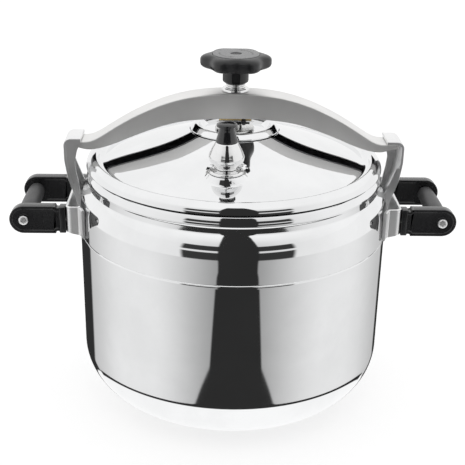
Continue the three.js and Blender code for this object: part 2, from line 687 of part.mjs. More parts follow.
// ---------------------------------------------------------------- brackets and handles
const bx = -BRACKET_X;
const web = box(bx, bx + BRACKET_T, -BRACKET_Y, BRACKET_Y, BRACKET_Z0, BRACKET_Z1);
const legOutline = [
  [bx, BRACKET_Z1],
  [bx + 23, BRACKET_Z1],
  [bx + 23, BRACKET_Z0 - 2],
  [bx + 5, BRACKET_Z0 - 2],
  [bx + 1.4, BRACKET_Z0 + 1.2],
  [bx, BRACKET_Z0 + 6],
];
const leg = plateXZ(legOutline.slice().reverse(), BRACKET_Y - BRACKET_T, BRACKET_Y);
const footSkin = turned([
  ...potSkin(GAP + 2.4).filter(([, z]) => z > BASE_CORNER_R - 1 && z < NECK_Z),
  [POT_R - 30, NECK_Z - 0.1],
  [POT_R - 30, BASE_CORNER_R],
]);
const footPad = footSkin.intersect(
  box(bx - 12, bx + 58, BRACKET_Y - BRACKET_T, BRACKET_Y + BRACKET_FOOT, BRACKET_Z0 - 2, BRACKET_Z1),
);
const halfBracket = leg.add(footPad);
let bracket = web.add(halfBracket).add(halfBracket.mirror([0, 1, 0]));
bracket = bracket.subtract(potEnvelope);
[-ARM_Y, ARM_Y].forEach((y) => {
  bracket = bracket.subtract(pinX(BOLT_R + GAP, bx - 12, bx + 8, y, HANDLE_Z, 16));
});
add("bracket_left", toGeometry(bracket), "mirror");
add("bracket_right", toGeometry(halfTurn(bracket)), "mirror");

const armIn = bx - GAP;
const hh = ARM_H / 2;
const armOutline = [
  [armIn - COLLAR_L, HANDLE_Z - hh],
  [armIn - COLLAR_L - 1, HANDLE_Z - hh + 2.4],
  [armIn - COLLAR_L - 2.6, HANDLE_Z - hh + 2.4],
  [armIn - COLLAR_L - 3.6, HANDLE_Z - hh],
  ...arc(-ARM_END_X, HANDLE_Z, hh, 270, 90, 14),
  [armIn - COLLAR_L - 3.6, HANDLE_Z + hh],
  [armIn - COLLAR_L - 2.6, HANDLE_Z + hh - 2.4],
  [armIn - COLLAR_L - 1, HANDLE_Z + hh - 2.4],
  [armIn - COLLAR_L, HANDLE_Z + hh],
];
const armCollar = box(armIn - COLLAR_L, armIn, ARM_Y - ARM_T / 2 - 0.6, ARM_Y + ARM_T / 2 + 0.6,
  HANDLE_Z - hh + 0.5, HANDLE_Z + hh - 0.5);
const armBlade = plateXZ(armOutline.concat([[armIn - 1, HANDLE_Z + hh], [armIn - 1, HANDLE_Z - hh]]),
  ARM_Y - ARM_T / 2, ARM_Y + ARM_T / 2, 0.9);
const armRear = armBlade.add(armCollar)
  .subtract(pinY(BOLT_R + GAP, 0, 80, -ARM_END_X, HANDLE_Z, 16))
  .subtract(pinX(BOLT_R + GAP, armIn - 20, armIn + 5, ARM_Y, HANDLE_Z, 16));
const armFront = armRear.mirror([0, 1, 0]);
add("arm_left_rear", toGeometry(armRear), "black");
add("arm_left_front", toGeometry(armFront), "black");
add("arm_right_front", toGeometry(halfTurn(armRear)), "black");
add("arm_right_rear", toGeometry(halfTurn(armFront)), "black");

const gripHalf = ARM_Y - ARM_T / 2 - GAP;
const gripSide = [];
for (let i = 0; i <= 6; i += 1) {
  const t = (i / 6) * 2 - 1;
  gripSide.push([GRIP_R - GRIP_WAIST * t * t, t * gripHalf]);
}
const grip = turned([[0, -gripHalf], ...gripSide, [0, gripHalf]], 20)
  .subtract(disc(BOLT_R + GAP, gripHalf - 17, 60, 12))
  .subtract(disc(BOLT_R + GAP, -60, -gripHalf + 17, 12))
  .rotate([90, 0, 0])
  .translate([-ARM_END_X, 0, HANDLE_Z]);
add("grip_left", toGeometry(grip), "black");
add("grip_right", toGeometry(halfTurn(grip)), "black");

const headY = ARM_Y + ARM_T / 2 + GAP;
const slot = (w) => box(-3, 3, -w, w, BOLT_HEAD_H - 0.9, BOLT_HEAD_H + 1);
const boltUp = turned([
  [0, -ARM_T - 16],
  [BOLT_R, -ARM_T - 16],
  [BOLT_R, 0],
  [BOLT_HEAD_R, 0],
  [BOLT_HEAD_R, BOLT_HEAD_H * 0.5],
  [BOLT_HEAD_R - 1, BOLT_HEAD_H * 0.9],
  [BOLT_HEAD_R - 2.2, BOLT_HEAD_H],
  [0, BOLT_HEAD_H],
], 16).subtract(slot(0.5)).subtract(slot(0.5).rotate([0, 0, 90]));
const boltRear = boltUp.rotate([-90, 0, 0]).translate([-ARM_END_X, headY, HANDLE_Z]);
const boltFront = boltRear.mirror([0, 1, 0]);
add("grip_screw_left_rear", toGeometry(boltRear), "mirror");
add("grip_screw_left_front", toGeometry(boltFront), "mirror");
add("grip_screw_right_front", toGeometry(halfTurn(boltRear)), "mirror");
add("grip_screw_right_rear", toGeometry(halfTurn(boltFront)), "mirror");

const armBoltHead = bx + BRACKET_T + GAP;
const armBolt = pinX(BOLT_R, armBoltHead - 19, armBoltHead + 1, 0, 0, 16)
  .add(pinX(BOLT_HEAD_R - 0.6, armBoltHead, armBoltHead + 2.4, 0, 0, 20));
const armBoltAt = (y) => armBolt.translate([0, y, HANDLE_Z]);
add("arm_screw_left_rear", toGeometry(armBoltAt(ARM_Y)), "satin");
add("arm_screw_left_front", toGeometry(armBoltAt(-ARM_Y)), "satin");
add("arm_screw_right_front", toGeometry(halfTurn(armBoltAt(ARM_Y))), "satin");
add("arm_screw_right_rear", toGeometry(halfTurn(armBoltAt(-ARM_Y))), "satin");

export default group;
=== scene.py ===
"""Pressure canner: finer pieces, finishes and the studio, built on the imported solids."""
import logging
import math
from dataclasses import dataclass, field
from enum import Enum
from typing import Any, Sequence

import bmesh
import bpy
from mathutils import Matrix, Quaternion, Vector


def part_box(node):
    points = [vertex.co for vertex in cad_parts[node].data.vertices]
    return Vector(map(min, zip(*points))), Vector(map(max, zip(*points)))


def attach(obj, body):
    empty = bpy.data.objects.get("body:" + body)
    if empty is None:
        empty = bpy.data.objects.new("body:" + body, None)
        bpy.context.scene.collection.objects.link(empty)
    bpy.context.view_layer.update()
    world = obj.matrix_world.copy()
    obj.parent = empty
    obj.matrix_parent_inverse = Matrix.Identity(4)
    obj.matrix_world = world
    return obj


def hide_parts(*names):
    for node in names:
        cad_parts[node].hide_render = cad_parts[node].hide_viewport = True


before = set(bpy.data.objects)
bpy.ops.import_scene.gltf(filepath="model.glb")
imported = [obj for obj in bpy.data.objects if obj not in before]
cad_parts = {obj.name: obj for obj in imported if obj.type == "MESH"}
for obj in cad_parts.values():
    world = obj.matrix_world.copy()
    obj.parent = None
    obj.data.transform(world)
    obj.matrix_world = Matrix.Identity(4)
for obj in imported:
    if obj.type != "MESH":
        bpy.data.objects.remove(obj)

LOG = logging.getLogger("canner")
MM = 0.001
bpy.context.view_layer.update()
Pair = tuple[float, float]


# ------------------------------------------------------------------ lines
class Line:
    """Plain lines in a plane, as lists of number pairs in millimetres."""

    @staticmethod
    def straight(a: Pair, b: Pair, step: float) -> list[Pair]:
        """Evenly spaced points from one end to the other.

        Args:
            a: First end.
            b: Last end.
            step: Longest space between points.

        Returns:
            The points, both ends included.
        """
        n = max(1, math.ceil(math.dist(a, b) / step))
        return [(a[0] + (b[0] - a[0]) * i / n, a[1] + (b[1] - a[1]) * i / n) for i in range(n + 1)]

    @staticmethod
    def arc(centre: Pair, radius: float, start: float, end: float, steps: int) -> list[Pair]:
        """Points on an arc.

        Args:
            centre: Middle of the circle.
            radius: Its radius.
            start: First angle in degrees.
            end: Last angle in degrees.
            steps: Number of chords.

        Returns:
            The points, both ends included.
        """
        turns = [math.radians(start + (end - start) * i / steps) for i in range(steps + 1)]
        return [(centre[0] + radius * math.cos(t), centre[1] + radius * math.sin(t)) for t in turns]

    @staticmethod
    def spline(points: Sequence[Pair], step: float) -> list[Pair]:
        """A smooth line through every point.

        Args:
            points: The points the line goes through.
            step: Longest space between the points that come out.

        Returns:
            The points of the smooth line.
        """
        if len(points) < 3:
            return Line.straight(points[0], points[-1], step)
        p = [Vector(q) for q in points]
        p = [2 * p[0] - p[1], *p, 2 * p[-1] - p[-2]]
        out: list[Pair] = []
        for i in range(1, len(p) - 2):
            knots = [0.0]
            for j in range(i - 1, i + 2):
                knots.append(knots[-1] + max((p[j + 1] - p[j]).length, 1e-6) ** 0.5)
            n = max(1, math.ceil((p[i + 1] - p[i]).length / step))
            for k in range(n):
                t = knots[1] + (knots[2] - knots[1]) * k / n
                level = [p[i - 1], p[i], p[i + 1], p[i + 2]]
                for span in (1, 2, 3):
                    level = [
                        Line._between(level[m], level[m + 1], knots[m], knots[m + span], t)
                        if span == 1
                        else Line._between(level[m], level[m + 1],
                                           knots[m if span == 2 else 1],
                                           knots[m + 2 if span == 2 else 2], t)
                        for m in range(4 - span)
                    ]
                out.append((level[0].x, level[0].y))
        out.append((p[-2].x, p[-2].y))
        return out

    @staticmethod
    def _between(a: Vector, b: Vector, start: float, end: float, t: float) -> Vector:
        """The point at t on the straight line from a, at start, to b, at end."""
        return a * ((end - t) / (end - start)) + b * ((t - start) / (end - start))

    @staticmethod
    def rounded(points: Sequence[Pair], radii: Sequence[float], steps: int = 6) -> list[Pair]:
        """A line whose inner corners are rounded off.

        Args:
            points: The corners, ends included.
            radii: Radius at each point; the ends' values aren't used.
            steps: Chords on each rounded corner.

        Returns:
            The points of the rounded line.
        """
        out: list[Pair] = [tuple(points[0])]
        for i in range(1, len(points) - 1):
            here = Vector(points[i])
            back = (Vector(points[i - 1]) - here).normalized()
            on = (Vector(points[i + 1]) - here).normalized()
            half = back.angle(on) / 2
            if radii[i] <= 0 or half > 1.55:
                out.append((here.x, here.y))
                continue
            reach = radii[i] / math.tan(half)
            first, last = here + back * reach, here + on * reach
            centre = here + (back + on).normalized() * (radii[i] / math.sin(half))
            a0 = math.atan2(first.y - centre.y, first.x - centre.x)
            a1 = math.atan2(last.y - centre.y, last.x - centre.x)
            turn = (a1 - a0 + math.pi) % (2 * math.pi) - math.pi
            out += Line.arc((centre.x, centre.y), radii[i], math.degrees(a0),
                            math.degrees(a0 + turn), steps)
        out.append(tuple(points[-1]))
        return out

    @staticmethod
    def joined(*runs: Sequence[Pair]) -> list[Pair]:
        """One line from several runs that meet end to end, without repeated points."""
        out: list[Pair] = []
        for run in runs:
            for q in run:
                if not out or math.dist(out[-1], q) > 1e-4:
                    out.append(tuple(q))
        return out

    @staticmethod
    def height(points: Sequence[Pair], at: float) -> float:
        """The second number of a line where its first number, which grows, is at."""
        for a, b in zip(points, points[1:]):
            if a[0] <= at <= b[0] and b[0] > a[0]:
                return a[1] + (b[1] - a[1]) * (at - a[0]) / (b[0] - a[0])
        return points[0][1] if at < points[0][0] else points[-1][1]


# ------------------------------------------------------------------ shapes
class Shape:
    """A mesh under construction, in millimetres, in the canner's frame."""

    def __init__(self) -> None:
        """Starts with an empty mesh."""
        self.bm = bmesh.new()

    def lathe(self, profile: Sequence[Pair], steps: int, place: Matrix | None = None) -> "Shape":
        """Turns a closed or axis-to-axis profile of radius and height about the upright axis.

        Args:
            profile: Radius and height pairs.
            steps: Facets in the full turn.
            place: Where the turned piece goes.

        Returns:
            This shape.
        """
        part = bmesh.new()
        verts = [part.verts.new((r, 0.0, z)) for r, z in profile]
        edges = [part.edges.new(pair) for pair in zip(verts, verts[1:])]
        if profile[0][0] > 1e-6:
            edges.append(part.edges.new((verts[-1], verts[0])))
        bmesh.ops.spin(part, geom=verts + edges, axis=(0, 0, 1), cent=(0, 0, 0),
                       steps=steps, angle=2 * math.pi, use_merge=True, use_duplicate=False)
        return self._take(part, place)

    def loft(self, sections: Sequence[Sequence[Vector]], place: Matrix | None = None) -> "Shape":
        """Draws a closed ring of points from section to section and closes both ends.

        Args:
            sections: Rings with the same number of points.
            place: Where the piece goes.

        Returns:
            This shape.
        """
        part = bmesh.new()
        ring = [part.verts.new(p) for p in sections[0]]
        edges = [part.edges.new((ring[i], ring[(i + 1) % len(ring)])) for i in range(len(ring))]
        part.faces.new(ring)
        for section in sections[1:]:
            made = bmesh.ops.extrude_edge_only(part, edges=edges)["geom"]
            fresh = {g for g in made if isinstance(g, bmesh.types.BMVert)}
            step = {v: next(e.other_vert(v) for e in v.link_edges if e.other_vert(v) in fresh)
                    for v in ring}
            ring = [step[v] for v in ring]
            for vert, point in zip(ring, section):
                vert.co = point
            edges = [part.edges.get((ring[i], ring[(i + 1) % len(ring)])) for i in range(len(ring))]
        part.faces.new(ring)
        return self._take(part, place)

    def plate(self, outline: Sequence[Pair], low: float, high: float, rim: float = 0.0,
              sunk: float = 0.0, place: Matrix | None = None) -> "Shape":
        """A flat plate in X and Z, thick along Y, with a raised rim where one is asked for.

        Args:
            outline: Corners in X and Z.
            low: Lower Y face.
            high: Upper Y face.
            rim: Width of the raised rim.
            sunk: How far the panel inside the rim lies below it.
            place: Where the piece goes.

        Returns:
            This shape.
        """
        part = bmesh.new()
        face = part.faces.new([part.verts.new((x, low, z)) for x, z in outline])
        made = bmesh.ops.extrude_face_region(part, geom=[face])["geom"]
        moved = [g for g in made if isinstance(g, bmesh.types.BMVert)]
        bmesh.ops.translate(part, verts=moved, vec=(0, high - low, 0))
        bmesh.ops.recalc_face_normals(part, faces=part.faces[:])
        if rim > 0:
            for cap in [f for f in part.faces if abs(f.normal.y) > 0.99 and len(f.verts) > 4]:
                bmesh.ops.inset_region(part, faces=[cap], thickness=rim, depth=0)
                bmesh.ops.inset_region(part, faces=[cap], thickness=sunk * 0.8, depth=-sunk)
        return self._take(part, place)

    def block(self, low: Sequence[float], high: Sequence[float], place: Matrix | None = None) -> "Shape":
        """A box between two corners."""
        part = bmesh.new()
        size = [h - l for l, h in zip(low, high)]
        middle = [(h + l) / 2 for l, h in zip(low, high)]
        bmesh.ops.create_cube(part, size=1.0,
                              matrix=Matrix.Translation(middle) @ Matrix.Diagonal((*size, 1)))
        return self._take(part, place)

    def _take(self, part: bmesh.types.BMesh, place: Matrix | None) -> "Shape":
        """Closes a part's seams and poles, turns it outwards, places it and adds it here."""
        bmesh.ops.remove_doubles(part, verts=part.verts[:], dist=1e-5)
        bmesh.ops.recalc_face_normals(part, faces=part.faces[:])
        if part.calc_volume(signed=True) < 0:
            bmesh.ops.reverse_faces(part, faces=part.faces[:])
        if place is not None:
            bmesh.ops.transform(part, matrix=place, verts=part.verts[:])
        scratch = bpy.data.meshes.new("scratch")
        part.to_mesh(scratch)
        part.free()
        self.bm.from_mesh(scratch)
        bpy.data.meshes.remove(scratch)
        return self

    def bevelled(self, width: float, angle: float = 35.0, segments: int = 2) -> "Shape":
        """Rounds every edge that is sharper than an angle.

        Args:
            width: Width of the rounding.
            angle: Smallest angle that counts as an edge, in degrees.
            segments: Facets across the rounding.

        Returns:
            This shape.
        """
        limit = math.radians(angle)
        edges = [e for e in self.bm.edges if e.is_manifold and e.calc_face_angle(0.0) > limit]
        bmesh.ops.bevel(self.bm, geom=edges, offset=width, segments=segments, profile=0.5,
                        affect="EDGES", material=-1, clamp_overlap=True)
        return self

    def mapped(self, change: Any) -> "Shape":
        """Moves every point to where a function of it says."""
        for vert in self.bm.verts:
            vert.co = change(vert.co)
        return self

    def object(self, name: str, smooth: float = 32.0) -> bpy.types.Object:
        """Finishes the mesh as an object in metres.

        Args:
            name: The object's name.
            smooth: Edges sharper than this many degrees stay crisp.

        Returns:
            The new object, linked to the scene.
        """
        bmesh.ops.scale(self.bm, vec=(MM, MM, MM), verts=self.bm.verts[:])
        mesh = bpy.data.meshes.new(name)
        self.bm.to_mesh(mesh)
        self.bm.free()
        mesh.shade_smooth()
        mesh.set_sharp_from_angle(angle=math.radians(smooth))
        made = bpy.data.objects.new(name, mesh)
        bpy.context.scene.collection.objects.link(made)
        return made


def carve(target: bpy.types.Object, cutter: Shape) -> None:
    """Cuts a shape out of an object's mesh.

    Args:
        target: The object that is cut.
        cutter: The shape that is taken away.
    """
    tool = cutter.object("cutter")
    cut = target.modifiers.new("cut", "BOOLEAN")
    cut.operation, cut.object, cut.solver = "DIFFERENCE", tool, "EXACT"
    bpy.context.view_layer.update()
    graph = bpy.context.evaluated_depsgraph_get()
    mesh = bpy.data.meshes.new_from_object(target.evaluated_get(graph))
    target.modifiers.clear()
    target.data = mesh
    mesh.set_sharp_from_angle(angle=math.radians(32))
    bpy.data.objects.remove(tool)


def node_box(node: str) -> tuple[Vector, Vector]:
    """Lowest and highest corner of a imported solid, in millimetres."""
    low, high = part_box(node)
    return low / MM, high / MM


# ------------------------------------------------------------------ shader maths
class Value:
    """A shader socket that can be used in Python expressions."""

    def __init__(self, graph: "Graph", socket: Any) -> None:
        """Wraps a socket of a graph."""
        self.graph, self.socket = graph, socket

    def __add__(self, other: Any) -> "Value":
        """Sum."""
        return self.graph.sum("ADD", self, other)

    __radd__ = __add__

    def __sub__(self, other: Any) -> "Value":
        """Difference."""
        return self.graph.sum("SUBTRACT", self, other)

    def __rsub__(self, other: Any) -> "Value":
        """Difference from a number."""
        return self.graph.sum("SUBTRACT", other, self)

    def __mul__(self, other: Any) -> "Value":
        """Product."""
        return self.graph.sum("MULTIPLY", self, other)

    __rmul__ = __mul__

    def __truediv__(self, other: Any) -> "Value":
        """Quotient."""
        return self.graph.sum("DIVIDE", self, other)

    def __abs__(self) -> "Value":
        """Size without sign."""
        return self.graph.sum("ABSOLUTE", self)

    def step(self, low: float, high: float) -> "Value":
        """A soft step from 0 at low to 1 at high."""
        node = self.graph.node("ShaderNodeMapRange", {"interpolation_type": "SMOOTHSTEP"},
                               {0: self, 1: low, 2: high, 3: 0.0, 4: 1.0})
        return Value(self.graph, node.outputs[0])

    def line(self, low: float, high: float, start: float, end: float) -> "Value":
        """A straight change from start at low to end at high, held beyond both."""
        node = self.graph.node("ShaderNodeMapRange", {"interpolation_type": "LINEAR"},
                               {0: self, 1: low, 2: high, 3: start, 4: end})
        return Value(self.graph, node.outputs[0])


class Graph:
    """Makes the nodes of one material or of the surroundings."""

    def __init__(self, tree: bpy.types.NodeTree) -> None:
        """Clears the tree and keeps it."""
        self.tree = tree
        tree.nodes.clear()

    def node(self, kind: str, settings: dict[str, Any], inputs: dict[Any, Any]) -> bpy.types.Node:
        """Adds a node.

        Args:
            kind: The node's type name.
            settings: Its own settings, which are set first; stops are a ramp's stops.
            inputs: Values or links of its sockets, by name or number.

        Returns:
            The new node.
        """
        made = self.tree.nodes.new(kind)
        for key, value in settings.items():
            if key == "stops":
                self._stops(made, value)
            else:
                setattr(made, key, value)
        for key, value in inputs.items():
            if isinstance(value, Value):
                self.tree.links.new(value.socket, made.inputs[key])
            else:
                made.inputs[key].default_value = value
        return made

    @staticmethod
    def _stops(node: bpy.types.Node, stops: Sequence[tuple[float, float]]) -> None:
        """Sets a ramp's stops from place and grey level pairs."""
        ramp = node.color_ramp
        while len(ramp.elements) > 1:
            ramp.elements.remove(ramp.elements[-1])
        ramp.elements[0].position = stops[0][0]
        ramp.elements[0].color = (*(stops[0][1],) * 3, 1)
        for place, level in stops[1:]:
            ramp.elements.new(place).color = (level, level, level, 1)

    def sum(self, operation: str, a: Any, b: Any = 0.0) -> Value:
        """One step of arithmetic on values."""
        return Value(self, self.node("ShaderNodeMath", {"operation": operation}, {0: a, 1: b}).outputs[0])

    def place(self) -> Value:
        """The point's place in the piece's own frame, in metres."""
        return Value(self, self.node("ShaderNodeTexCoord", {}, {}).outputs["Object"])

    def mapped(self, vector: Value, move: Sequence[float] = (0, 0, 0),
               scale: Sequence[float] = (1, 1, 1)) -> Value:
        """A moved and stretched vector."""
        node = self.node("ShaderNodeMapping", {}, {0: vector, 1: move, 3: scale})
        return Value(self, node.outputs[0])

    def parts(self, vector: Value) -> tuple[Value, Value, Value]:
        """The three numbers of a vector."""
        node = self.node("ShaderNodeSeparateXYZ", {}, {0: vector})
        return tuple(Value(self, out) for out in node.outputs)

    def joined(self, x: Any, y: Any, z: Any) -> Value:
        """A vector of three numbers."""
        return Value(self, self.node("ShaderNodeCombineXYZ", {}, {0: x, 1: y, 2: z}).outputs[0])

    def noise(self, vector: Value, scale: float, detail: float = 3.0, rough: float = 0.55) -> Value:
        """Soft noise between 0 and 1."""
        node = self.node("ShaderNodeTexNoise", {},
                         {"Vector": vector, "Scale": scale, "Detail": detail, "Roughness": rough})
        return Value(self, node.outputs[0])

    def ramp(self, value: Value, stops: Sequence[tuple[float, float]]) -> Value:
        """A grey level looked up along stops."""
        return Value(self, self.node("ShaderNodeValToRGB", {"stops": stops}, {0: value}).outputs[0])

    def blend(self, factor: Any, a: Any, b: Any) -> Value:
        """A colour between two colours."""
        node = self.node("ShaderNodeMix", {"data_type": "RGBA"}, {0: factor, 6: a, 7: b})
        return Value(self, node.outputs[2])

    def bump(self, height: Value, depth: float, strength: float = 1.0) -> Value:
        """A surface direction disturbed by a height, in metres."""
        node = self.node("ShaderNodeBump", {}, {"Strength": strength, "Distance": depth, "Height": height})
        return Value(self, node.outputs[0])


# ------------------------------------------------------------------ finishes
class Lay(Enum):
    """The way in which the fine lines of a worked metal run."""

    ROUND = "round the upright axis"
    ALONG = "along the bow"
    PLAIN = "no lines"


@dataclass(frozen=True)
class Metal:
    """A worked metal: polished, satin or cast."""

    name: str
    tone: tuple[float, float, float]
    roughness: float
    lay: Lay = Lay.PLAIN
    lines: float = 0.02
    haze: float = 0.015
    depth: float = 0.0
    spots: float = 0.0

    def material(self) -> bpy.types.Material:
        """Builds the finish.

        Returns:
            The material.
        """
        made = bpy.data.materials.new(self.name)
        made.use_nodes = True
        g = Graph(made.node_tree)
        place = g.place()
        x, y, z = g.parts(place)
        if self.lay is Lay.ROUND:
            radius = g.sum("SQRT", x * x + y * y)
            lined = g.joined(radius * 900.0, 0.0, z * 900.0)
            fine = g.noise(lined, 1.0, 2.0)
        elif self.lay is Lay.ALONG:
            fine = g.noise(g.mapped(place, scale=(14, 1600, 1600)), 1.0, 3.0)
        else:
            fine = g.noise(place, 900.0, 2.0)
        cloud = g.noise(place, 22.0, 4.0)
        specks = g.noise(place, 260.0, 3.0).step(0.66, 0.8)
        rough = self.roughness + (fine - 0.5) * self.lines + (cloud - 0.5) * self.haze
        rough = rough + specks * self.spots
        dull = tuple(0.94 * c for c in self.tone)
        base = g.blend(cloud.step(0.3, 0.7), (*dull, 1), (*self.tone, 1))
        inputs = {"Base Color": base, "Metallic": 1.0, "Roughness": rough}
        if self.depth > 0:
            inputs["Normal"] = g.bump(fine * 0.6 + cloud * 0.4, self.depth)
        body = g.node("ShaderNodeBsdfPrincipled", {}, inputs)
        g.node("ShaderNodeOutputMaterial", {}, {0: Value(g, body.outputs[0])})
        return made


@dataclass(frozen=True)
class Moulded:
    """A moulded plastic or rubber with a fine grain and handling marks."""

    name: str
    tone: tuple[float, float, float]
    worn: tuple[float, float, float]
    roughness: float
    grain: float = 1400.0
    depth: float = 0.00002
    mottle: float = 0.08
    coat: float = 0.0

    def material(self) -> bpy.types.Material:
        """Builds the finish.

        Returns:
            The material.
        """
        made = bpy.data.materials.new(self.name)
        made.use_nodes = True
        g = Graph(made.node_tree)
        place = g.place()
        fine = g.noise(place, self.grain, 3.0, 0.6)
        cloud = g.noise(place, 60.0, 4.0)
        streak = g.noise(g.mapped(place, scale=(300, 80, 40)), 1.0, 3.0)
        base = g.blend((fine * 0.7 + cloud * 0.3).step(0.42, 0.72), (*self.tone, 1), (*self.worn, 1))
        rough = self.roughness + (cloud - 0.5) * self.mottle + (streak - 0.5) * self.mottle
        body = g.node("ShaderNodeBsdfPrincipled", {}, {
            "Base Color": base,
            "Roughness": rough,
            "Coat Weight": self.coat,
            "Coat Roughness": 0.12,
            "Normal": g.bump(fine + cloud * 0.3, self.depth),
        })
        g.node("ShaderNodeOutputMaterial", {}, {0: Value(g, body.outputs[0])})
        return made


@dataclass(frozen=True)
class TurnMarks:
    """The grey disc in the knob with two plain curved arrows that show which way it turns, and painted shade
    in its centre recess.
    """

    name: str
    tone: tuple[float, float, float]
    ink_and_shade: tuple[float, float, float]
    mark_r: float
    mark_w: float
    recess_shade_r: float = 4.7

    def material(self) -> bpy.types.Material:
        """Builds the finish.

        Returns:
            The material.
        """
        made = bpy.data.materials.new(self.name)
        made.use_nodes = True
        g = Graph(made.node_tree)
        place = g.place()
        x, y, _ = g.parts(place)
        radius = g.sum("SQRT", x * x + y * y)
        angle = g.sum("ARCTAN2", y, x)
        off = abs(radius - self.mark_r * MM)
        half = g.sum("MODULO", angle + 2 * math.pi + 0.5, math.pi)
        stroke = (1.0 - off.step(self.mark_w * 0.42 * MM, self.mark_w * 0.58 * MM))
        stroke = stroke * half.step(0.28, 0.31) * (1.0 - half.step(1.62, 1.65))
        reach = half.line(1.62, 2.02, self.mark_w * 1.7 * MM, 0.0)
        head = (reach - off).step(0.0, 0.0001) * half.step(1.61, 1.63) * (1.0 - half.step(2.01, 2.03))
        # painted shade: the centre recess is filled with a dark disc of the ink colour
        recess_shade = 1.0 - radius.step((self.recess_shade_r - 0.2) * MM, (self.recess_shade_r + 0.2) * MM)
        ink_and_shade_mask = g.sum("MINIMUM", stroke + head + recess_shade, 1.0)
        fine = g.noise(place, 1500.0, 2.0)
        cloud = g.noise(place, 90.0, 3.0)
        face = g.blend(cloud, (*self.tone, 1), (*(c * 1.18 for c in self.tone), 1))
        # the ink colour paints the printed arrows and the painted shade in the centre recess
        base = g.blend(ink_and_shade_mask, face, (*self.ink_and_shade, 1))
        body = g.node("ShaderNodeBsdfPrincipled", {}, {
            "Base Color": base,
            "Roughness": 0.28 + (cloud - 0.5) * 0.12,
            "Normal": g.bump(fine * 0.4 + ink_and_shade_mask, 0.00004),
        })
        g.node("ShaderNodeOutputMaterial", {}, {0: Value(g, body.outputs[0])})
        return made


class Finishes:
    """Every finish of the canner, made once."""

    def __init__(self) -> None:
        """Makes all the materials."""
        steel = (0.9, 0.905, 0.91)
        self.pot = Metal("polished_pot", steel, 0.035, Lay.ROUND, 0.012, 0.02).material()
        self.lid = Metal("polished_lid", steel, 0.03, Lay.ROUND, 0.012, 0.02).material()
        self.hook = Metal("polished_hook", (0.93, 0.93, 0.93), 0.4, Lay.PLAIN, 0.1, 0.05,
                          0.000004).material()
        self.fitting = Metal("polished_fitting", (0.88, 0.88, 0.88), 0.06, Lay.PLAIN, 0.03, 0.03).material()
        self.bow = Metal("satin_bow", (0.9, 0.895, 0.885), 0.49, Lay.ALONG, 0.14, 0.05,
                         0.000012).material()
        # A darker copy of the bow's steel for the hollow under the bow: painted shade.
        self.bow_inner_painted_shade = Metal("bow_inside_painted_shade", (0.16, 0.16, 0.165), 0.4, Lay.ALONG, 0.14, 0.1,
                               0.00002).material()
        self.satin = Metal("satin_steel", (0.74, 0.74, 0.73), 0.24, Lay.PLAIN, 0.08, 0.06,
                           0.000008).material()
        self.rack = Metal("rack_sheet", (0.78, 0.78, 0.77), 0.34, Lay.PLAIN, 0.1, 0.08, 0.00001).material()
        self.brass = Metal("turned_brass", (0.78, 0.6, 0.3), 0.26, Lay.ROUND, 0.12, 0.1, 0.00001).material()
        self.dark_screw = Metal("dark_screw", (0.08, 0.08, 0.085), 0.3, Lay.PLAIN, 0.1, 0.1,
                                0.00001).material()
        self.black = Moulded("black_moulding", (0.012, 0.012, 0.013), (0.02, 0.02, 0.021), 0.26,
                             900.0, 0.000012, 0.1, 0.3).material()
        self.knob = Moulded("knob_moulding", (0.011, 0.011, 0.012), (0.02, 0.02, 0.021), 0.3,
                            1200.0, 0.00003, 0.12).material()
        self.grip = Moulded("grained_grip", (0.05, 0.05, 0.051), (0.12, 0.12, 0.122), 0.42,
                            1500.0, 0.00007, 0.08).material()
        self.valve_black = Moulded("valve_moulding", (0.008, 0.008, 0.009), (0.014, 0.014, 0.015), 0.12,
                                   900.0, 0.000006, 0.06, 0.6).material()
        self.rubber = Moulded("gasket_rubber", (0.02, 0.02, 0.021), (0.04, 0.04, 0.04), 0.75,
                              700.0, 0.00004, 0.1).material()
        # the cap's finish holds printed arrows and a painted shade disc in its centre recess
        self.cap = TurnMarks("knob_cap_marks_and_shade", (0.14, 0.142, 0.145), (0.012, 0.012, 0.013),
                             14.4, 1.5).material()


# ------------------------------------------------------------------ assembly base
@dataclass
class Assembly:
    """A group of pieces that belong together."""

    finishes: Finishes
    made: list[str] = field(default_factory=list)

    def fit(self, piece: bpy.types.Object, finish: bpy.types.Material, body: str, slot: str,
            *nodes: str) -> bpy.types.Object:
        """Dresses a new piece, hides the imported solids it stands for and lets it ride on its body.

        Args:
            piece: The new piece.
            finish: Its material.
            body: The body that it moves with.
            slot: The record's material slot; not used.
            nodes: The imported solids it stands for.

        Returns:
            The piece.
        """
        piece.data.materials.clear()
        piece.data.materials.append(finish)
        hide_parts(*nodes)
        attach(piece, body)
        self.made.append(piece.name)
        return piece

    @staticmethod
    def keep(node: str, finish: bpy.types.Material) -> None:
        """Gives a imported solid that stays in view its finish."""
        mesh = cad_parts[node].data
        mesh.materials.clear()
        mesh.materials.append(finish)


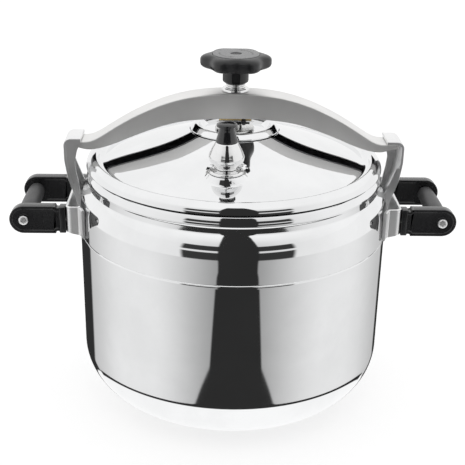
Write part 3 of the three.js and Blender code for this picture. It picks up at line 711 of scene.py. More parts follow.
# ------------------------------------------------------------------ pot
@dataclass
class Pot(Assembly):
    """The spun pot and the rack that lies in it."""

    wall: float = 2.2
    taper: float = 0.6
    corner: float = 44.0
    seam: float = 158.0
    neck_r: float = 130.9
    neck_z: float = 204.5
    rim_r: float = 132.2

    def outside(self, r: float, h: float) -> list[Pair]:
        """The outer line from the middle of the base to the top of the rim.

        Args:
            r: Widest radius.
            h: Height of the rim.

        Returns:
            Radius and height pairs.
        """
        foot = r - self.taper
        s, n, m = self.seam, self.neck_r, self.neck_z
        return Line.joined(
            Line.straight((0, 0), (foot - self.corner, 0), 8),
            Line.arc((foot - self.corner, self.corner), self.corner, -90, 0, 56),
            Line.straight((foot, self.corner), (r - 0.5, s - 1.5), 1.6),
            Line.spline([(r - 0.5, s - 1.5), (r - 0.62, s - 1.1), (r - 0.95, s - 0.7), (r - 0.9, s - 0.4),
                         (r - 0.15, s - 0.05), (r, s + 0.5)], 0.3),
            Line.spline([(r, s + 0.5), (r - 0.1, s + 13), (r - 0.35, s + 22.5), (r - 0.8, s + 26.6),
                         (r - 1.55, s + 30.3), (r - 2.75, s + 33.6), (r - 4.4, s + 36.5),
                         (n + 2.6, m - 7.2), (n + 0.9, m - 5.3)], 0.6),
            Line.straight((n + 0.55, m - 4.6), (n + 1.01, m - 0.2), 0.5),
            Line.spline([(n + 1.06, m + 0.2), (self.rim_r - 0.04, m + 1.3), (self.rim_r, m + 2.3),
                         (self.rim_r - 0.12, m + 3.6), (self.rim_r - 0.45, m + 5.0),
                         (self.rim_r - 1.1, m + 6.6), (self.rim_r - 2.2, h - 2.0),
                         (self.rim_r - 3.6, h - 0.9), (self.rim_r - 4.7, h - 0.9),
                         (self.rim_r - 5, h - 3)], 0.4),
        )

    def inside(self, r: float, h: float) -> list[Pair]:
        """The inner line from the rim down to the middle of the floor."""
        w, s, n, m = self.wall, self.seam, self.neck_r, self.neck_z
        foot = r - self.taper
        return Line.joined(
            Line.spline([(self.rim_r - 5, h - 3), (n - w + 0.6, m + 3), (n - w, m), (n + 2.4 - w, m - 6.5),
                         (r - 4.7 - w, s + 35.6), (r - 1.6 - w, s + 29), (r - 0.4 - w, s + 21),
                         (r - w, s + 2), (foot - w, self.corner)], 3),
            Line.arc((foot - self.corner, self.corner), self.corner - w, 0, -90, 20),
            Line.straight((foot - self.corner, w), (0, w), 16),
        )

    def build(self) -> None:
        """Makes the pot and dresses the rack."""
        _, high = node_box("pot_body")
        r, h = high.x, high.z + 0.2
        shape = Shape().lathe(Line.joined(self.outside(r, h), self.inside(r, h)), 176)
        self.fit(shape.object("pot_spun"), self.finishes.pot, "pot", "polished_pot", "pot_body")
        self.keep("canning_rack", self.finishes.rack)


# ------------------------------------------------------------------ lid
@dataclass
class Lid(Assembly):
    """The pressed lid with its centre dish and gasket."""

    wall: float = 2.2
    crest_r: float = 123.7
    gutter_r: float = 118.0
    gutter_depth: float = 4.4
    slope: float = 0.335
    foot: float = 6.0
    steep_reach: float = 30.5
    steep_gain: float = 0.00108
    dish_r: float = 39.5
    seat_below: float = 2.6
    pads: tuple[tuple[str, float], ...] = (("vent_base_nut", 14.9), ("safety_valve_body", 11.0))

    def cone(self, r: float, crest: float) -> float:
        """Height of the lid at a radius between the dish and the gutter."""
        steep = max(0.0, self.dish_r + self.steep_reach - r)
        base = crest - self.gutter_depth + 1.6
        return base + self.slope * (self.gutter_r - self.foot - r) + self.steep_gain * steep * steep

    def profile(self, crest: float) -> list[Pair]:
        """The closed section of the lid, top first.

        Args:
            crest: Height of the ridge of the lid's edge.

        Returns:
            Radius and height pairs.
        """
        g, q = crest - self.gutter_depth, self.gutter_r
        c, w = self.crest_r, self.wall
        first, last = self.dish_r + 0.8, q - self.foot
        seat = self.cone(first, crest) - self.seat_below
        slant = [(first + i * (last - first) / 16, 0.0) for i in range(17)]
        slant = [(r, self.cone(r, crest)) for r, _ in slant]
        top = Line.joined(
            Line.straight((0, seat), (self.dish_r - 1, seat), 6),
            Line.straight((self.dish_r - 1, seat), slant[0], 1),
            Line.spline([*slant, (q - 3.2, g + 0.62), (q - 1.2, g + 0.08), (q + 0.6, g + 0.06),
                         (q + 2.2, g + 0.9),
                         (q + 4, g + 3), (c, crest), (c + 2.6, crest - 0.4), (c + 5.0, crest - 1.4),
                         (c + 6.9, crest - 2.9), (c + 7.9, crest - 4.3), (c + 8.4, crest - 5.8),
                         (c + 8.65, crest - 7.2), (c + 8.7, crest - 8)], 0.6),
        )
        under = Line.joined(
            Line.spline([(c + 7.4, crest - 8), (c + 6.9, crest - 6.4), (c + 5.2, crest - 4.4),
                         (c + 3.2, crest - 2.9), (c + 0.2, crest - w), (q + 4.6, g + 3 - w),
                         (q + 1.8, g - w), (q - 1.2, g - w), (q - 3.6, g + 0.3 - w),
                         *[(r, z - w) for r, z in reversed(slant)]], 3),
            Line.straight((self.dish_r - 1, seat - w), (0, seat - w), 12),
        )
        return Line.joined(top, under)

    def _flats(self, shape: Shape, crest: float) -> None:
        """Presses a flat under each valve.

        Args:
            shape: The lid.
            crest: Height of the ridge of the lid's edge.
        """
        for node, reach in self.pads:
            low, high = node_box(node)
            cx, cy = (low.x + high.x) / 2, (low.y + high.y) / 2
            level = self.cone(abs(cy), crest) + 0.4

            def press(p: Vector) -> Vector:
                """Moves a point of the top skin onto the flat."""
                away = math.hypot(p.x - cx, p.y - cy)
                if away > reach + 3:
                    return p
                skin = self.cone(math.hypot(p.x, p.y), crest)
                t = min(1.0, max(0.0, (reach + 3 - away) / 2.6))
                t = t * t * (3 - 2 * t)
                return Vector((p.x, p.y, p.z + (level - skin) * t))

            shape.mapped(press)

    def build(self) -> None:
        """Makes the lid and its dish and dresses the gasket."""
        low, _ = node_box("lid")
        _, dish_high = node_box("lid_centre_dish")
        crest = node_box("pot_body")[1].z + 0.2 + 9.0
        shape = Shape().lathe(self.profile(crest), 240)
        self._flats(shape, crest)
        self.fit(shape.object("lid_pressed"), self.finishes.lid, "pot", "polished_lid", "lid")
        floor = self.cone(self.dish_r + 0.8, crest) - self.seat_below + 0.3
        top = dish_high.z
        r = self.dish_r
        section = Line.joined(
            Line.straight((0, floor), (r - 2.4, floor), 8),
            Line.spline([(r - 2.4, floor), (r - 1.5, floor + 0.5), (r, floor + 3.2), (r, floor + 4.2)], 0.6),
            Line.spline([(r, floor + 4.2), (r - 1.2, floor + 5.6), (r - 3.4, top - 0.5), (r - 5.2, top),
                         (r - 6.9, top - 0.5), (r - 8.6, top - 2.9), (r - 11.2, floor + 2.9),
                         (r - 14.5, floor + 2.4)], 0.45),
            Line.straight((r - 14.5, floor + 2.4), (0, floor + 2.4), 8),
        )
        dish = Shape().lathe(section, 144)
        self.fit(dish.object("lid_dish_spun"), self.finishes.lid, "pot", "polished_lid", "lid_centre_dish")
        self.keep("lid_gasket", self.finishes.rubber)


# ------------------------------------------------------------------ bow
@dataclass
class Bow(Assembly):
    """The pressed bow that bridges the lid, with its saddle and nut."""

    sheet: float = 3.0
    edge: float = 1.5
    solid_from: float = 131.0
    fall: tuple[Pair, ...] = (
        (0, 0), (14, 0.25), (28, 1.4), (40, 3.2), (53, 6.3), (66, 10.6), (79, 16.2), (92.3, 22.9),
        (104, 29.8), (113.7, 36), (122, 41.2), (128, 43.8), (134, 44.7), (140, 44.7), (146.5, 44.7))
    skirt: tuple[Pair, ...] = (
        (0, 22.4), (12, 22.4), (28, 23.2), (42, 24.6), (56, 27.3), (73, 32.7), (92, 40.1), (104, 45.3),
        (114.5, 49.1), (122, 51.1), (130, 51.9), (138, 50.3), (146.5, 48.3))

    def section(self, x: float, top: float, low: float, half: float) -> list[Vector]:
        """One closed channel section of the bow.

        Args:
            x: Place along the bow.
            top: Height of its top face.
            low: Height of the skirt's lower edge.
            half: Half the width of the bow.

        Returns:
            The ring of points.
        """
        e, t = self.edge, self.sheet
        roof = top - t if abs(x) < self.solid_from else low + 0.1
        outer = [(-half, low + 0.2)]
        outer += Line.arc((-half + e, top - e), e, 180, 90, 5)
        outer += Line.arc((half - e, top - e), e, 90, 0, 5)
        outer += [(half, low + 0.2), (half - 0.4, low), (half - t + 0.3, low), (half - t, low + 0.05)]
        outer += [(half - t, roof), (-half + t, roof), (-half + t, low + 0.05), (-half + t - 0.3, low),
                  (-half + 0.4, low)]
        return [Vector((x, y, z)) for y, z in outer]

    def paint_shade_inside(self, bow: bpy.types.Object, half: float) -> None:
        """Gives the hollow under the bow a darker copy of its steel, which is painted shade.

        Args:
            bow: The finished bow.
            half: Half its width.
        """
        bow.data.materials.append(self.finishes.bow_inner_painted_shade)
        for face in bow.data.polygons:
            inside = abs(face.center.y) < half - 0.001
            hollow = face.normal.z < -0.3 or abs(face.normal.y) > 0.7
            # the faces under the roof and inside the skirts get the darker copy, as painted shade
            face.material_index = 1 if inside and hollow else 0

    def build(self) -> None:
        """Makes the bow and dresses what sits in it."""
        _, high = node_box("bow")
        crown, half = high.z, high.y
        fall = Line.spline([(-x, z) for x, z in reversed(self.fall[1:])] + list(self.fall), 1.0)
        skirt = Line.spline([(-x, z) for x, z in reversed(self.skirt[1:])] + list(self.skirt), 1.0)
        ends = [high.x - d for d in (0.0, 0.15, 0.5, 1.2)]
        span = [-e for e in ends] + [-high.x + 2.2 + i * (2 * high.x - 4.4) / 170 for i in range(171)]
        span += ends[::-1]
        sections = []
        for x in span:
            end = high.x - abs(x)
            pinch = 0.7 * (1 - math.sqrt(max(0.0, 1 - (1 - min(end, 1.2) / 1.2) ** 2)))
            top = crown - Line.height(fall, x) - pinch
            base = crown - Line.height(skirt, x) + pinch
            sections.append(self.section(x, top, base, half - pinch))
        shape = Shape().loft(sections)
        bow = self.fit(shape.object("bow_pressed"), self.finishes.bow, "bow", "satin_bow", "bow")
        self.paint_shade_inside(bow, half * MM)
        self.keep("bow_saddle", self.finishes.fitting)
        self.keep("screw_nut", self.finishes.brass)
        self.keep("saddle_lock_screw", self.finishes.dark_screw)
        low, high = node_box("bow_bush")
        r, z0, z1 = high.x, low.z, high.z
        ring = Line.joined([(7.3, z0)], [(r - 0.2, z0), (r, z0 + 0.3)],
                           Line.spline([(r, z1 - 1.1), (r - 0.4, z1 - 0.4), (r - 1.3, z1)], 0.3),
                           [(7.3, z1), (7.3, z0 + 0.01)])
        self.fit(Shape().lathe(ring[:-1], 72).object("bow_bush_turned"), self.finishes.fitting, "bow",
                 "polished_fittings", "bow_bush")


# ------------------------------------------------------------------ clamp screw
@dataclass
class Clamp(Assembly):
    """The clamp screw with its lobed knob, cap and pressure foot."""

    lobes: int = 6
    hub: float = 11.4
    slot_half: float = 3.6
    levels: tuple[tuple[float, float, float], ...] = (
        (0, 9.4, 0), (0.3, 10.2, 0), (1.0, 11.0, 0), (2.2, 11.4, 0), (10.6, 11.4, 0), (11.8, 11.8, 0),
        (12.5, 13.0, 0.2), (12.9, 15.4, 0.6), (13.1, 24.3, 1.8), (13.4, 26.0, 2.0), (14.1, 27.2, 2.2),
        (15.2, 28.2, 2.3), (17.0, 28.8, 2.4), (20.4, 28.8, 2.4), (21.8, 28.4, 2.3), (22.9, 27.5, 2.2),
        (23.8, 26.1, 1.9), (24.4, 24.5, 1.5), (24.75, 22.9, 1.0), (24.9, 21.6, 0.4), (24.85, 21.0, 0.1),
        (24.6, 20.75, 0), (23.55, 20.75, 0), (23.5, 20.6, 0), (23.5, 9.6, 0), (23.4, 9.5, 0),
        (18.0, 9.5, 0), (17.9, 9.3, 0))

    def knob(self, base: float) -> bpy.types.Object:
        """The lobed knob with a slot in its hub.

        Args:
            base: Height of the hub's lower face.

        Returns:
            The knob.
        """
        steps = 144
        rings = []
        for dz, r, lobe in self.levels:
            ring = []
            for i in range(steps):
                a = 2 * math.pi * i / steps
                rr = r + lobe * math.cos(self.lobes * a)
                ring.append(Vector((rr * math.cos(a), rr * math.sin(a), base + dz)))
            rings.append(ring)
        made = Shape().loft(rings).object("knob_lobed", 40)
        s = self.slot_half
        carve(made, Shape().block((-s, -self.hub - 2, base + 1), (s, -self.hub + 1.4, base + 11)))
        return made

    def build(self) -> None:
        """Makes the knob, its cap, the screw and the foot."""
        low, high = node_box("knob")
        self.fit(self.knob(low.z), self.finishes.knob, "screw", "black_moulding", "knob")
        low, high = node_box("knob_cap")
        r, z0, z1 = high.x, low.z, high.z
        cap = Line.joined([(0, z0)], [(r, z0)],
                          Line.spline([(r, z1 - 0.6), (r - 0.25, z1 - 0.15), (r - 0.9, z1)], 0.2),
                          Line.straight((r - 0.9, z1), (5.7, z1), 3),
                          Line.spline([(5.7, z1), (5.1, z1 - 0.15), (4.8, z1 - 0.7)], 0.2), [(0, z1 - 0.7)])
        self.fit(Shape().lathe(cap, 96).object("knob_cap_disc"), self.finishes.cap, "screw", "grey_cap",
                 "knob_cap")
        low, high = node_box("clamp_screw")
        collar0, collar1 = node_box("bow_bush")[1].z + 0.3, node_box("knob")[0].z - 0.3
        r = high.x
        body = Line.joined(
            [(0, low.z), (3.1, low.z), (3.1, low.z + 3.6), (6.0, low.z + 3.6), (7.0, low.z + 4.6)],
            self.thread(low.z + 6, collar0 - 4.5),
            [(7.0, collar0 - 4), (7.0, collar0), (r - 0.5, collar0)],
            Line.spline([(r - 0.5, collar0), (r, collar0 + 0.7), (r - 0.25, collar0 + 1.4),
                         (r - 1.1, (collar0 + collar1) / 2 + 0.2), (r - 0.25, collar1 - 1.2),
                         (r, collar1 - 0.7), (r - 0.5, collar1)], 0.2),
            [(5, collar1), (5, high.z - 0.6), (4.4, high.z), (0, high.z)])
        self.fit(Shape().lathe(body, 72).object("clamp_screw_turned"), self.finishes.fitting, "screw",
                 "polished_fittings", "clamp_screw")
        self.keep("knob_nut", self.finishes.satin)
        low, high = node_box("pressure_foot")
        r, z0, z1 = high.x, low.z, high.z
        foot = Line.joined([(0, z0)], [(r - 0.9, z0)],
                           Line.spline([(r - 0.9, z0), (r - 0.1, z0 + 0.5), (r - 0.1, z0 + 1.4),
                                        (r - 1.0, z0 + 2.0), (r - 3, z0 + 2.2)], 0.3),
                           [(6.7, z0 + 2.2), (6.7, z1), (4.6, z1), (4.6, z0 + 1.6), (0, z0 + 1.6)])
        self.fit(Shape().lathe(foot, 72).object("pressure_foot_turned"), self.finishes.satin, "foot",
                 "satin_steel", "pressure_foot")
        self.keep("foot_clip", self.finishes.brass)

    @staticmethod
    def thread(low: float, high: float) -> list[Pair]:
        """Fine grooves that stand for the screw's thread, from low to high."""
        out: list[Pair] = []
        z = low
        while z < high:
            out += [(6.95, z), (6.95, z + 0.9), (5.9, z + 1.9), (5.9, z + 2.4), (6.95, z + 3.4)]
            z += 4.0
        return out


# ------------------------------------------------------------------ valves
@dataclass
class Valves(Assembly):
    """The working valve in front of the bow and the safety valve behind it."""

    pipe: float = 4.0

    def build(self) -> None:
        """Makes the parts of both valves."""
        low, high = node_box("vent_base_nut")
        spot = Matrix.Translation(((low.x + high.x) / 2, (low.y + high.y) / 2, 0))
        z, b = low.z, self.pipe + 0.3
        base = Line.joined([(b, z)], [(14.2, z)],
                           Line.spline([(14.2, z), (14.6, z + 0.5), (14.6, z + 1.3), (14.0, z + 2.1),
                                        (12.6, z + 2.5), (10.6, z + 2.65), (9.4, z + 3)], 0.3), [(b, z + 3)])
        self.fit(Shape().lathe(base, 96, spot).object("vent_base_turned"), self.finishes.fitting, "pot",
                 "polished_fittings", "vent_base_nut")
        low, high = node_box("weight_body")
        z, r, p = low.z, high.x - (low.x + high.x) / 2, self.pipe + 0.5
        bulb = Line.joined(
            [(p, z)], [(8.2, z)],
            Line.spline([(8.2, z), (8.7, z + 0.5), (8.8, z + 1.6)], 0.4),
            Line.spline([(8.8, z + 1.6), (11.4, z + 4), (14.1, z + 7), (r - 0.15, z + 9.2), (r, z + 10.2),
                         (r - 0.1, z + 11.4), (r - 0.7, z + 13), (r - 2.2, z + 16.6), (r - 4.4, z + 20.6),
                         (9.4, z + 22.3), (8.8, z + 22.8)], 0.5),
            [(0, z + 22.8)], [(0, z + 17.2), (p, z + 17.2)])
        shape = Shape().lathe(Line.joined(bulb[:-3], [(0.4, z + 22.8), (0.4, z + 17.2), (p, z + 17.2)]), 96,
                              spot)
        self.fit(shape.object("weight_bulb"), self.finishes.fitting, "weight", "polished_fittings",
                 "weight_body")
        low, _ = node_box("weight_neck")
        z = low.z
        neck = Line.joined([(0, z)], [(8.6, z)],
                           Line.spline([(8.6, z), (8.9, z + 0.4), (8.9, z + 1.3), (8.3, z + 3.4),
                                        (7.5, z + 6.2), (6.7, z + 9.4), (6.3, z + 12.2)], 0.5),
                           [(0, z + 12.2)])
        self.fit(Shape().lathe(neck, 72, spot).object("weight_neck_flared"), self.finishes.valve_black,
                 "weight", "black_moulding", "weight_neck")
        low, _ = node_box("weight_cap")
        z = low.z
        cap = Line.joined([(0, z)], [(7.6, z)],
                          Line.spline([(7.6, z), (8.4, z + 0.5), (8.6, z + 1.2), (8.4, z + 2.1),
                                       (7.4, z + 2.9),
                                       (5.6, z + 3.5), (3.2, z + 3.9), (0, z + 4.1)], 0.4))
        self.fit(Shape().lathe(cap, 72, spot).object("weight_cap_domed"), self.finishes.valve_black,
                 "weight", "black_moulding", "weight_cap")
        self.keep("vent_pipe", self.finishes.brass)
        self.keep("vent_inner_nut", self.finishes.brass)
        low, high = node_box("safety_valve_body")
        spot = Matrix.Translation(((low.x + high.x) / 2, (low.y + high.y) / 2, 0))
        z0, z1 = low.z, high.z
        body = Line.joined([(2.4, z0), (5, z0), (5, z1 - 7.7), (10.4, z1 - 7.7)],
                           Line.spline([(10.4, z1 - 5.6), (10.1, z1 - 5.0), (9.0, z1 - 4.7),
                                        (8.6, z1 - 4.2)], 0.3),
                           Line.spline([(8.5, z1 - 3.8), (8.5, z1 - 1.4), (8.2, z1 - 0.5), (7.2, z1)], 0.3),
                           [(2.4, z1)])
        self.fit(Shape().lathe(body, 72, spot).object("safety_valve_turned"), self.finishes.fitting, "pot",
                 "polished_fittings", "safety_valve_body")
        self.keep("safety_valve_pin", self.finishes.valve_black)
        self.keep("safety_valve_nut", self.finishes.brass)


# ------------------------------------------------------------------ hooks and brackets
@dataclass
class Hooks(Assembly):
    """The two hooks that hold the bow's ends down."""

    sheet: float = 2.8
    gap: float = 0.5

    def strap(self, out: float, tab_in: float, top: float, foot: float, half: float) -> Shape:
        """The bent strap of the left hook.

        Args:
            out: Outer face along X.
            tab_in: Inner edge of the tab.
            top: Height of the tab.
            foot: Height of the lower edge.
            half: Half the width.

        Returns:
            The strap's shape.
        """
        t = self.sheet / 2
        path = Line.rounded([(tab_in, top - t), (out + t, top - t), (out + t, top - 20),
                             (out + t + 2.4, top - 36), (out + t + 8.2, top - 54),
                             (out + t + 11.4, foot + 6.4)], [0, 5.2, 30, 60, 14, 0], 10)
        sections = []
        for i, (x, z) in enumerate(path):
            ahead, behind = path[min(i + 1, len(path) - 1)], path[max(i - 1, 0)]
            along = Vector((ahead[0] - behind[0], ahead[1] - behind[1])).normalized()
            side = Vector((-along.y, along.x))
            e = 0.5
            ring = []
            for u, v in ((-t, -half + e), (-t + e, -half), (t - e, -half), (t, -half + e),
                         (t, half - e), (t - e, half), (-t + e, half), (-t, half - e)):
                ring.append(Vector((x + side.x * u, v, z + side.y * u)))
            sections.append(ring)
        return Shape().loft(sections)

    def build(self) -> None:
        """Makes both hooks."""
        for name, turn in (("left", 0.0), ("right", math.pi)):
            low, high = node_box("hook_left")
            out, top, half = low.x, high.z, high.y
            shape = self.strap(out, -135.8, top, low.z, half)
            wall = half - self.gap - 12.3
            stop = Line.rounded(
                [(-135.9, top - 2.4), (out + 0.9, top - 2.4), (out + 0.6, top - 20), (out + 2.8, top - 35),
                 (out + 8, top - 52), (out + 10.6, top - 63.6), (-137.4, top - 63.6), (-137.6, top - 52),
                 (out + 12, top - 40), (out + 10.4, top - 32), (out + 9.4, top - 22), (out + 11.6, top - 12),
                 (-135.9, top - 2.5)], [0, 3, 0, 20, 0, 0, 0, 0, 12, 12, 8, 8, 0], 6)
            shape.plate(stop[:-1], -half + 0.1, -half + wall)
            web = [(out + 1.4, top - 24), (out + 3.0, top - 35), (out + 8, top - 52),
                   (out + 10.6, top - 63.6),
                   (-137.2, top - 63.6), (-137.2, top - 48), (out + 6, top - 26)]
            shape.plate(web, half - 2.2, half - 0.1)
            turned = Matrix.Rotation(turn, 4, "Z")
            shape.mapped(lambda p, m=turned: m @ p)
            node = f"hook_{name}"
            self.fit(shape.object(f"{node}_bent", 38), self.finishes.hook, "pot", "polished_hooks", node)


@dataclass
class Brackets(Assembly):
    """The two sheet brackets that carry the handles."""

    sheet: float = 2.5
    bend: float = 4.0
    foot: float = 8.0

    def strip(self, out: float, half: float, low: float, high: float) -> Shape:
        """The left bracket as one bent strip.

        Args:
            out: Outer face of the web along X.
            half: Half width over the legs.
            low: Lower edge.
            high: Upper edge.

        Returns:
            The bracket's shape.
        """
        t = self.sheet / 2
        skin = 141.6
        end_y = half + self.foot
        wall = [(-math.sqrt(skin ** 2 - y * y), y) for y in (end_y, half + 4, half + 1.6)]
        side = [*wall, (-math.sqrt(skin ** 2 - (half - t) ** 2) - 1.6, half - t)]
        corners = [*side, (out + t, half - t), (out + t, -half + t), *[(x, -y) for x, y in reversed(side)]]
        radii = [0, 0, 0, 1.6, self.bend, self.bend, 1.6, 0, 0, 0]
        path = Line.rounded(corners, radii, 8)
        sections = []
        for i, (x, y) in enumerate(path):
            ahead, behind = path[min(i + 1, len(path) - 1)], path[max(i - 1, 0)]
            along = Vector((ahead[0] - behind[0], ahead[1] - behind[1])).normalized()
            across = Vector((-along.y, along.x))
            drop = 2.0 * min(1.0, max(0.0, (x - out - 3.0) / 6.0))
            z0, e = low + 2.0 - drop, 0.5
            ring = []
            for u, z in ((-t, z0 + e), (-t + e, z0), (t - e, z0), (t, z0 + e),
                         (t, high - e), (t - e, high), (-t + e, high), (-t, high - e)):
                ring.append(Vector((x + across.x * u, y + across.y * u, z)))
            sections.append(ring)
        return Shape().loft(sections)

    def build(self) -> None:
        """Makes both brackets."""
        low, high = node_box("bracket_left")
        for name, turn in (("left", 0.0), ("right", math.pi)):
            shape = self.strip(low.x, high.y - self.foot, low.z, high.z)
            turned = Matrix.Rotation(turn, 4, "Z")
            shape.mapped(lambda p, m=turned: m @ p)
            node = f"bracket_{name}"
            self.fit(shape.object(f"{node}_bent", 38), self.finishes.hook, "pot", "polished_fittings", node)


# ------------------------------------------------------------------ handles
@dataclass
class Handles(Assembly):
    """The arms, grips and screws of the two side handles."""

    rim: float = 2.2
    sunk: float = 0.9
    waist: float = 0.9
    collar: float = 5.4

    def arm(self, low: Vector, high: Vector, centre_x: float) -> Shape:
        """One arm of the left handle, with a raised rim and a collar at the bracket.

        Args:
            low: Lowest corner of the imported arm.
            high: Its highest corner.
            centre_x: Middle of its round end.

        Returns:
            The arm's shape.
        """
        hh, mid = (high.z - low.z) / 2, (high.z + low.z) / 2
        inner, c = high.x, self.collar
        outline = Line.joined(
            [(inner - 0.8, mid - hh + 0.6), (inner - c, mid - hh + 0.6)],
            Line.rounded([(inner - c, mid - hh + 0.6), (inner - c - 0.4, mid - hh + 2.2),
                          (inner - c - 2.6, mid - hh + 2.2), (inner - c - 3.6, mid - hh),
                          (inner - c - 6, mid - hh)], [0, 0.7, 0.7, 0.7, 0], 3),
            Line.arc((centre_x, mid), hh, 270, 90, 40),
            Line.rounded([(inner - c - 6, mid + hh), (inner - c - 3.6, mid + hh),
                          (inner - c - 2.6, mid + hh - 2.2),
                          (inner - c - 0.4, mid + hh - 2.2), (inner - c, mid + hh - 0.6)],
                         [0, 0.7, 0.7, 0.7, 0], 3),
            [(inner - 0.8, mid + hh - 0.6)])
        y0, y1 = low.y + 0.6, high.y - 0.6
        shape = Shape().plate(outline, y0, y1, self.rim, self.sunk)
        shape.bevelled(0.55, 40, 3)
        cap = Shape().block((inner - c + 0.2, low.y, low.z + 0.5), (inner, high.y, high.z - 0.5))
        cap.bevelled(0.7, 40, 3)
        scratch = bpy.data.meshes.new("scratch")
        cap.bm.to_mesh(scratch)
        cap.bm.free()
        shape.bm.from_mesh(scratch)
        bpy.data.meshes.remove(scratch)
        return shape

    def grip(self, low: Vector, high: Vector) -> Shape:
        """The barrel grip between two arms."""
        r, half = (high.z - low.z) / 2, (high.y - low.y) / 2
        side = [(r - self.waist * t * t, t * half) for t in [i / 24 - 1 for i in range(49)]]
        ends = Line.joined([(0, -half)], [(side[0][0] - 0.5, -half)], side[1:-1], [(side[-1][0] - 0.5, half)],
                           [(0, half)])
        middle = Matrix.Translation(((low.x + high.x) / 2, 0, (low.z + high.z) / 2))
        return Shape().lathe(ends, 72, middle @ Matrix.Rotation(math.pi / 2, 4, "X"))

    def screw(self, node: str) -> bpy.types.Object:
        """A pan head screw with a cross recess.

        Args:
            node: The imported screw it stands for.

        Returns:
            The screw.
        """
        low, high = node_box(node)
        out = 1.0 if high.y + low.y > 0 else -1.0
        r = (high.z - low.z) / 2
        tip, face = (low.y, high.y) if out > 0 else (-high.y, -low.y)
        seat = face - 2.6
        line = Line.joined([(0, tip), (2, tip), (2, seat), (r - 0.2, seat)],
                           Line.spline([(r, seat + 0.3), (r, seat + 1.2), (r - 0.7, seat + 2.1),
                                        (r - 2.0, seat + 2.5),
                                        (0, seat + 2.6)], 0.2))
        upright = Matrix.Rotation(-math.pi / 2 * out, 4, "X")
        place = Matrix.Translation(((low.x + high.x) / 2, 0, (low.z + high.z) / 2)) @ upright
        made = Shape().lathe(line, 48, place).object(f"{node}_turned")
        for w, l in ((0.45, 2.5), (2.5, 0.45)):
            carve(made, Shape().block((-w, -l, face - 1.3), (w, l, face + 1), place))
        return made

    def build(self) -> None:
        """Makes both handles."""
        for side, turn in (("left", 0.0), ("right", math.pi)):
            turned = Matrix.Rotation(turn, 4, "Z")
            g_low, g_high = node_box("grip_left")
            for part in ("front", "rear"):
                low, high = node_box(f"arm_left_{part}")
                shape = self.arm(low, high, (g_low.x + g_high.x) / 2)
                shape.mapped(lambda p, m=turned: m @ p)
                spot = part if turn == 0 else {"front": "rear", "rear": "front"}[part]
                node = f"arm_{side}_{spot}"
                self.fit(shape.object(f"{node}_moulded", 38), self.finishes.black, "pot",
                         "black_moulding", node)
                self.fit(self.screw(f"grip_screw_{side}_{spot}"), self.finishes.hook, "pot",
                         "polished_fittings", f"grip_screw_{side}_{spot}")
                self.keep(f"arm_screw_{side}_{spot}", self.finishes.satin)
            shape = self.grip(g_low, g_high)
            shape.mapped(lambda p, m=turned: m @ p)
            self.fit(shape.object(f"grip_{side}_barrel"), self.finishes.grip, "pot", "black_grip",
                     f"grip_{side}")


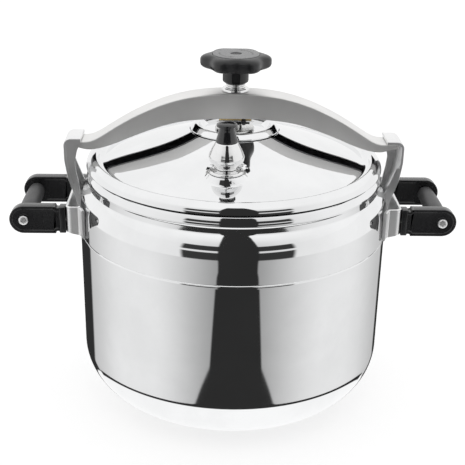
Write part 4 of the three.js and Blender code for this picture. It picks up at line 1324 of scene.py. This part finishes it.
# ------------------------------------------------------------------ studio
@dataclass
class Studio:
    """The floor, the soft surroundings and the camera."""

    distance: float = 0.9056
    aim: float = 0.1453
    elevation: float = 23.14
    turn: float = -1.81
    roll: float = 1.17
    lens: float = 74.97
    slit_centre: float = 2.6
    slit_dark: float = 0.028
    slit_from: float = -38.2
    slit_to: float = 74.0
    floor_to: float = -36.4
    wall_to: float = -17.4
    ceiling_from: float = 24.0
    patch_half: float = 40.0
    middle_level: float = 0.97
    floor_level: float = 1.04
    by_door: float = 0.3
    at_side: float = 0.88
    rise_to: float = 70.0
    fall_from: float = 90.0
    fall_to: float = 145.0
    fall_by: float = 0.35
    tent_left: float = -135.0
    tent_right: float = 150.0
    behind: float = 0.03

    def floor(self) -> None:
        """A wide pale floor."""
        bm = bmesh.new()
        bmesh.ops.create_grid(bm, x_segments=2, y_segments=2, size=9.0)
        bmesh.ops.translate(bm, verts=bm.verts[:], vec=(0, 0, -0.0002))
        mesh = bpy.data.meshes.new("floor")
        bm.to_mesh(mesh)
        bm.free()
        floor = bpy.data.objects.new("floor", mesh)
        bpy.context.scene.collection.objects.link(floor)
        paint = bpy.data.materials.new("floor_paint")
        paint.use_nodes = True
        g = Graph(paint.node_tree)
        soft = g.node("ShaderNodeBsdfPrincipled", {}, {
            "Base Color": (0.5, 0.5, 0.5, 1), "Roughness": 0.9, "Specular IOR Level": 0.0,
            "Emission Color": (1, 1, 1, 1), "Emission Strength": 0.64})
        g.node("ShaderNodeOutputMaterial", {}, {0: Value(g, soft.outputs[0])})
        mesh.materials.append(paint)
        floor.visible_glossy = False

    def surroundings(self) -> None:
        """Pale surroundings with a dark doorway in front, which polished metal mirrors."""
        world = bpy.data.worlds.new("soft_room")
        bpy.context.scene.world = world
        world.use_nodes = True
        g = Graph(world.node_tree)
        way = Value(g, g.node("ShaderNodeTexCoord", {}, {}).outputs["Generated"])
        x, y, z = g.parts(way)
        az = g.sum("ARCTAN2", x, 0.0 - y) * (180 / math.pi)
        el = g.sum("ARCSINE", z) * (180 / math.pi)
        off = abs(az - self.slit_centre)
        low = self.by_door + off.step(0, self.rise_to) * (self.at_side - self.by_door)
        low = low * (1.0 - off.step(self.fall_from, self.fall_to) * self.fall_by)
        tent = az.step(self.tent_left - 2, self.tent_left + 2)
        tent = tent * (1.0 - az.step(self.tent_right - 2, self.tent_right + 2))
        low = low * tent + self.behind * (1.0 - tent)
        # the doorway widens towards the floor, slowly at first and then into its threshold
        reach = el.line(-32.4, -24, 20.5, 14.2) + el.line(-33.7, -31.2, 12, 0)
        reach = reach + el.line(-35.2, -33.7, 104, 0)
        slit = 1.0 - (off - reach).step(-0.8, 0.8)
        # a wide dark board stands across it, parted by a bright line
        patch = 1.0 - off.step(self.patch_half - 2, self.patch_half + 2)
        glow = el.step(-3.5, -1.5) * (1.0 - el.step(3.0, 5.5))
        near = (1.0 - off.step(55, 115)) * (1.0 - low)
        middle = self.middle_level - near * 0.36
        middle = middle * (1.0 - patch * 0.95 * (1.0 - glow))
        upper = 1.0 - near * 0.42 * (1.0 - el.step(30, 62))
        beneath = el.step(self.floor_to - 0.4, self.floor_to + 0.4)
        between = el.step(self.wall_to - 1, self.wall_to + 1)
        above = el.step(self.ceiling_from - 2, self.ceiling_from + 2)
        light = self.floor_level * (1.0 - beneath) + low * beneath
        light = light * (1.0 - between) + middle * between
        light = light * (1.0 - above) + upper * above
        doorway = el.step(self.slit_from - 0.4, self.slit_from + 0.4)
        doorway = doorway * (1.0 - el.step(self.slit_to - 4, self.slit_to + 4))
        column = slit * doorway
        light = light * (1.0 - column) + column * self.slit_dark
        sky = g.node("ShaderNodeBackground", {}, {0: light, 1: 1.0})
        plain = g.node("ShaderNodeBackground", {}, {0: (1, 1, 1, 1), 1: 1.0})
        seen = Value(g, g.node("ShaderNodeLightPath", {}, {}).outputs["Is Camera Ray"])
        mixed = g.node("ShaderNodeMixShader", {},
                       {0: seen, 1: Value(g, sky.outputs[0]), 2: Value(g, plain.outputs[0])})
        g.node("ShaderNodeOutputWorld", {}, {0: Value(g, mixed.outputs[0])})

    def camera(self) -> None:
        """The camera, a little above and in front."""
        data = bpy.data.cameras.new("camera")
        cam = bpy.data.objects.new("camera", data)
        bpy.context.scene.collection.objects.link(cam)
        data.lens, data.sensor_width = self.lens, 36.0
        data.clip_start, data.clip_end = 0.05, 60.0
        e, t = math.radians(self.elevation), math.radians(self.turn)
        back = Vector((math.sin(t) * math.cos(e), -math.cos(t) * math.cos(e), math.sin(e)))
        cam.location = Vector((0, 0, self.aim)) + back * self.distance
        cam.rotation_mode = "QUATERNION"
        facing = (-back).to_track_quat("-Z", "Y")
        cam.rotation_quaternion = facing @ Quaternion((0, 0, 1), math.radians(self.roll))
        bpy.context.scene.camera = cam

    def build(self) -> None:
        """Makes the studio."""
        self.floor()
        self.surroundings()
        self.camera()
        view = bpy.context.scene.view_settings
        view.view_transform, view.look = "Standard", "None"
        view.exposure, view.gamma = 0.0, 1.0


def main() -> None:
    """Builds every assembly in order."""
    logging.basicConfig(level=logging.INFO, format="%(message)s")
    finishes = Finishes()
    for kind in (Pot, Lid, Bow, Clamp, Valves, Hooks, Brackets, Handles):
        assembly = kind(finishes)
        assembly.build()
        LOG.info("%s: %s", kind.__name__, ", ".join(assembly.made))
    Studio().build()


if __name__ == "__main__":
    main()
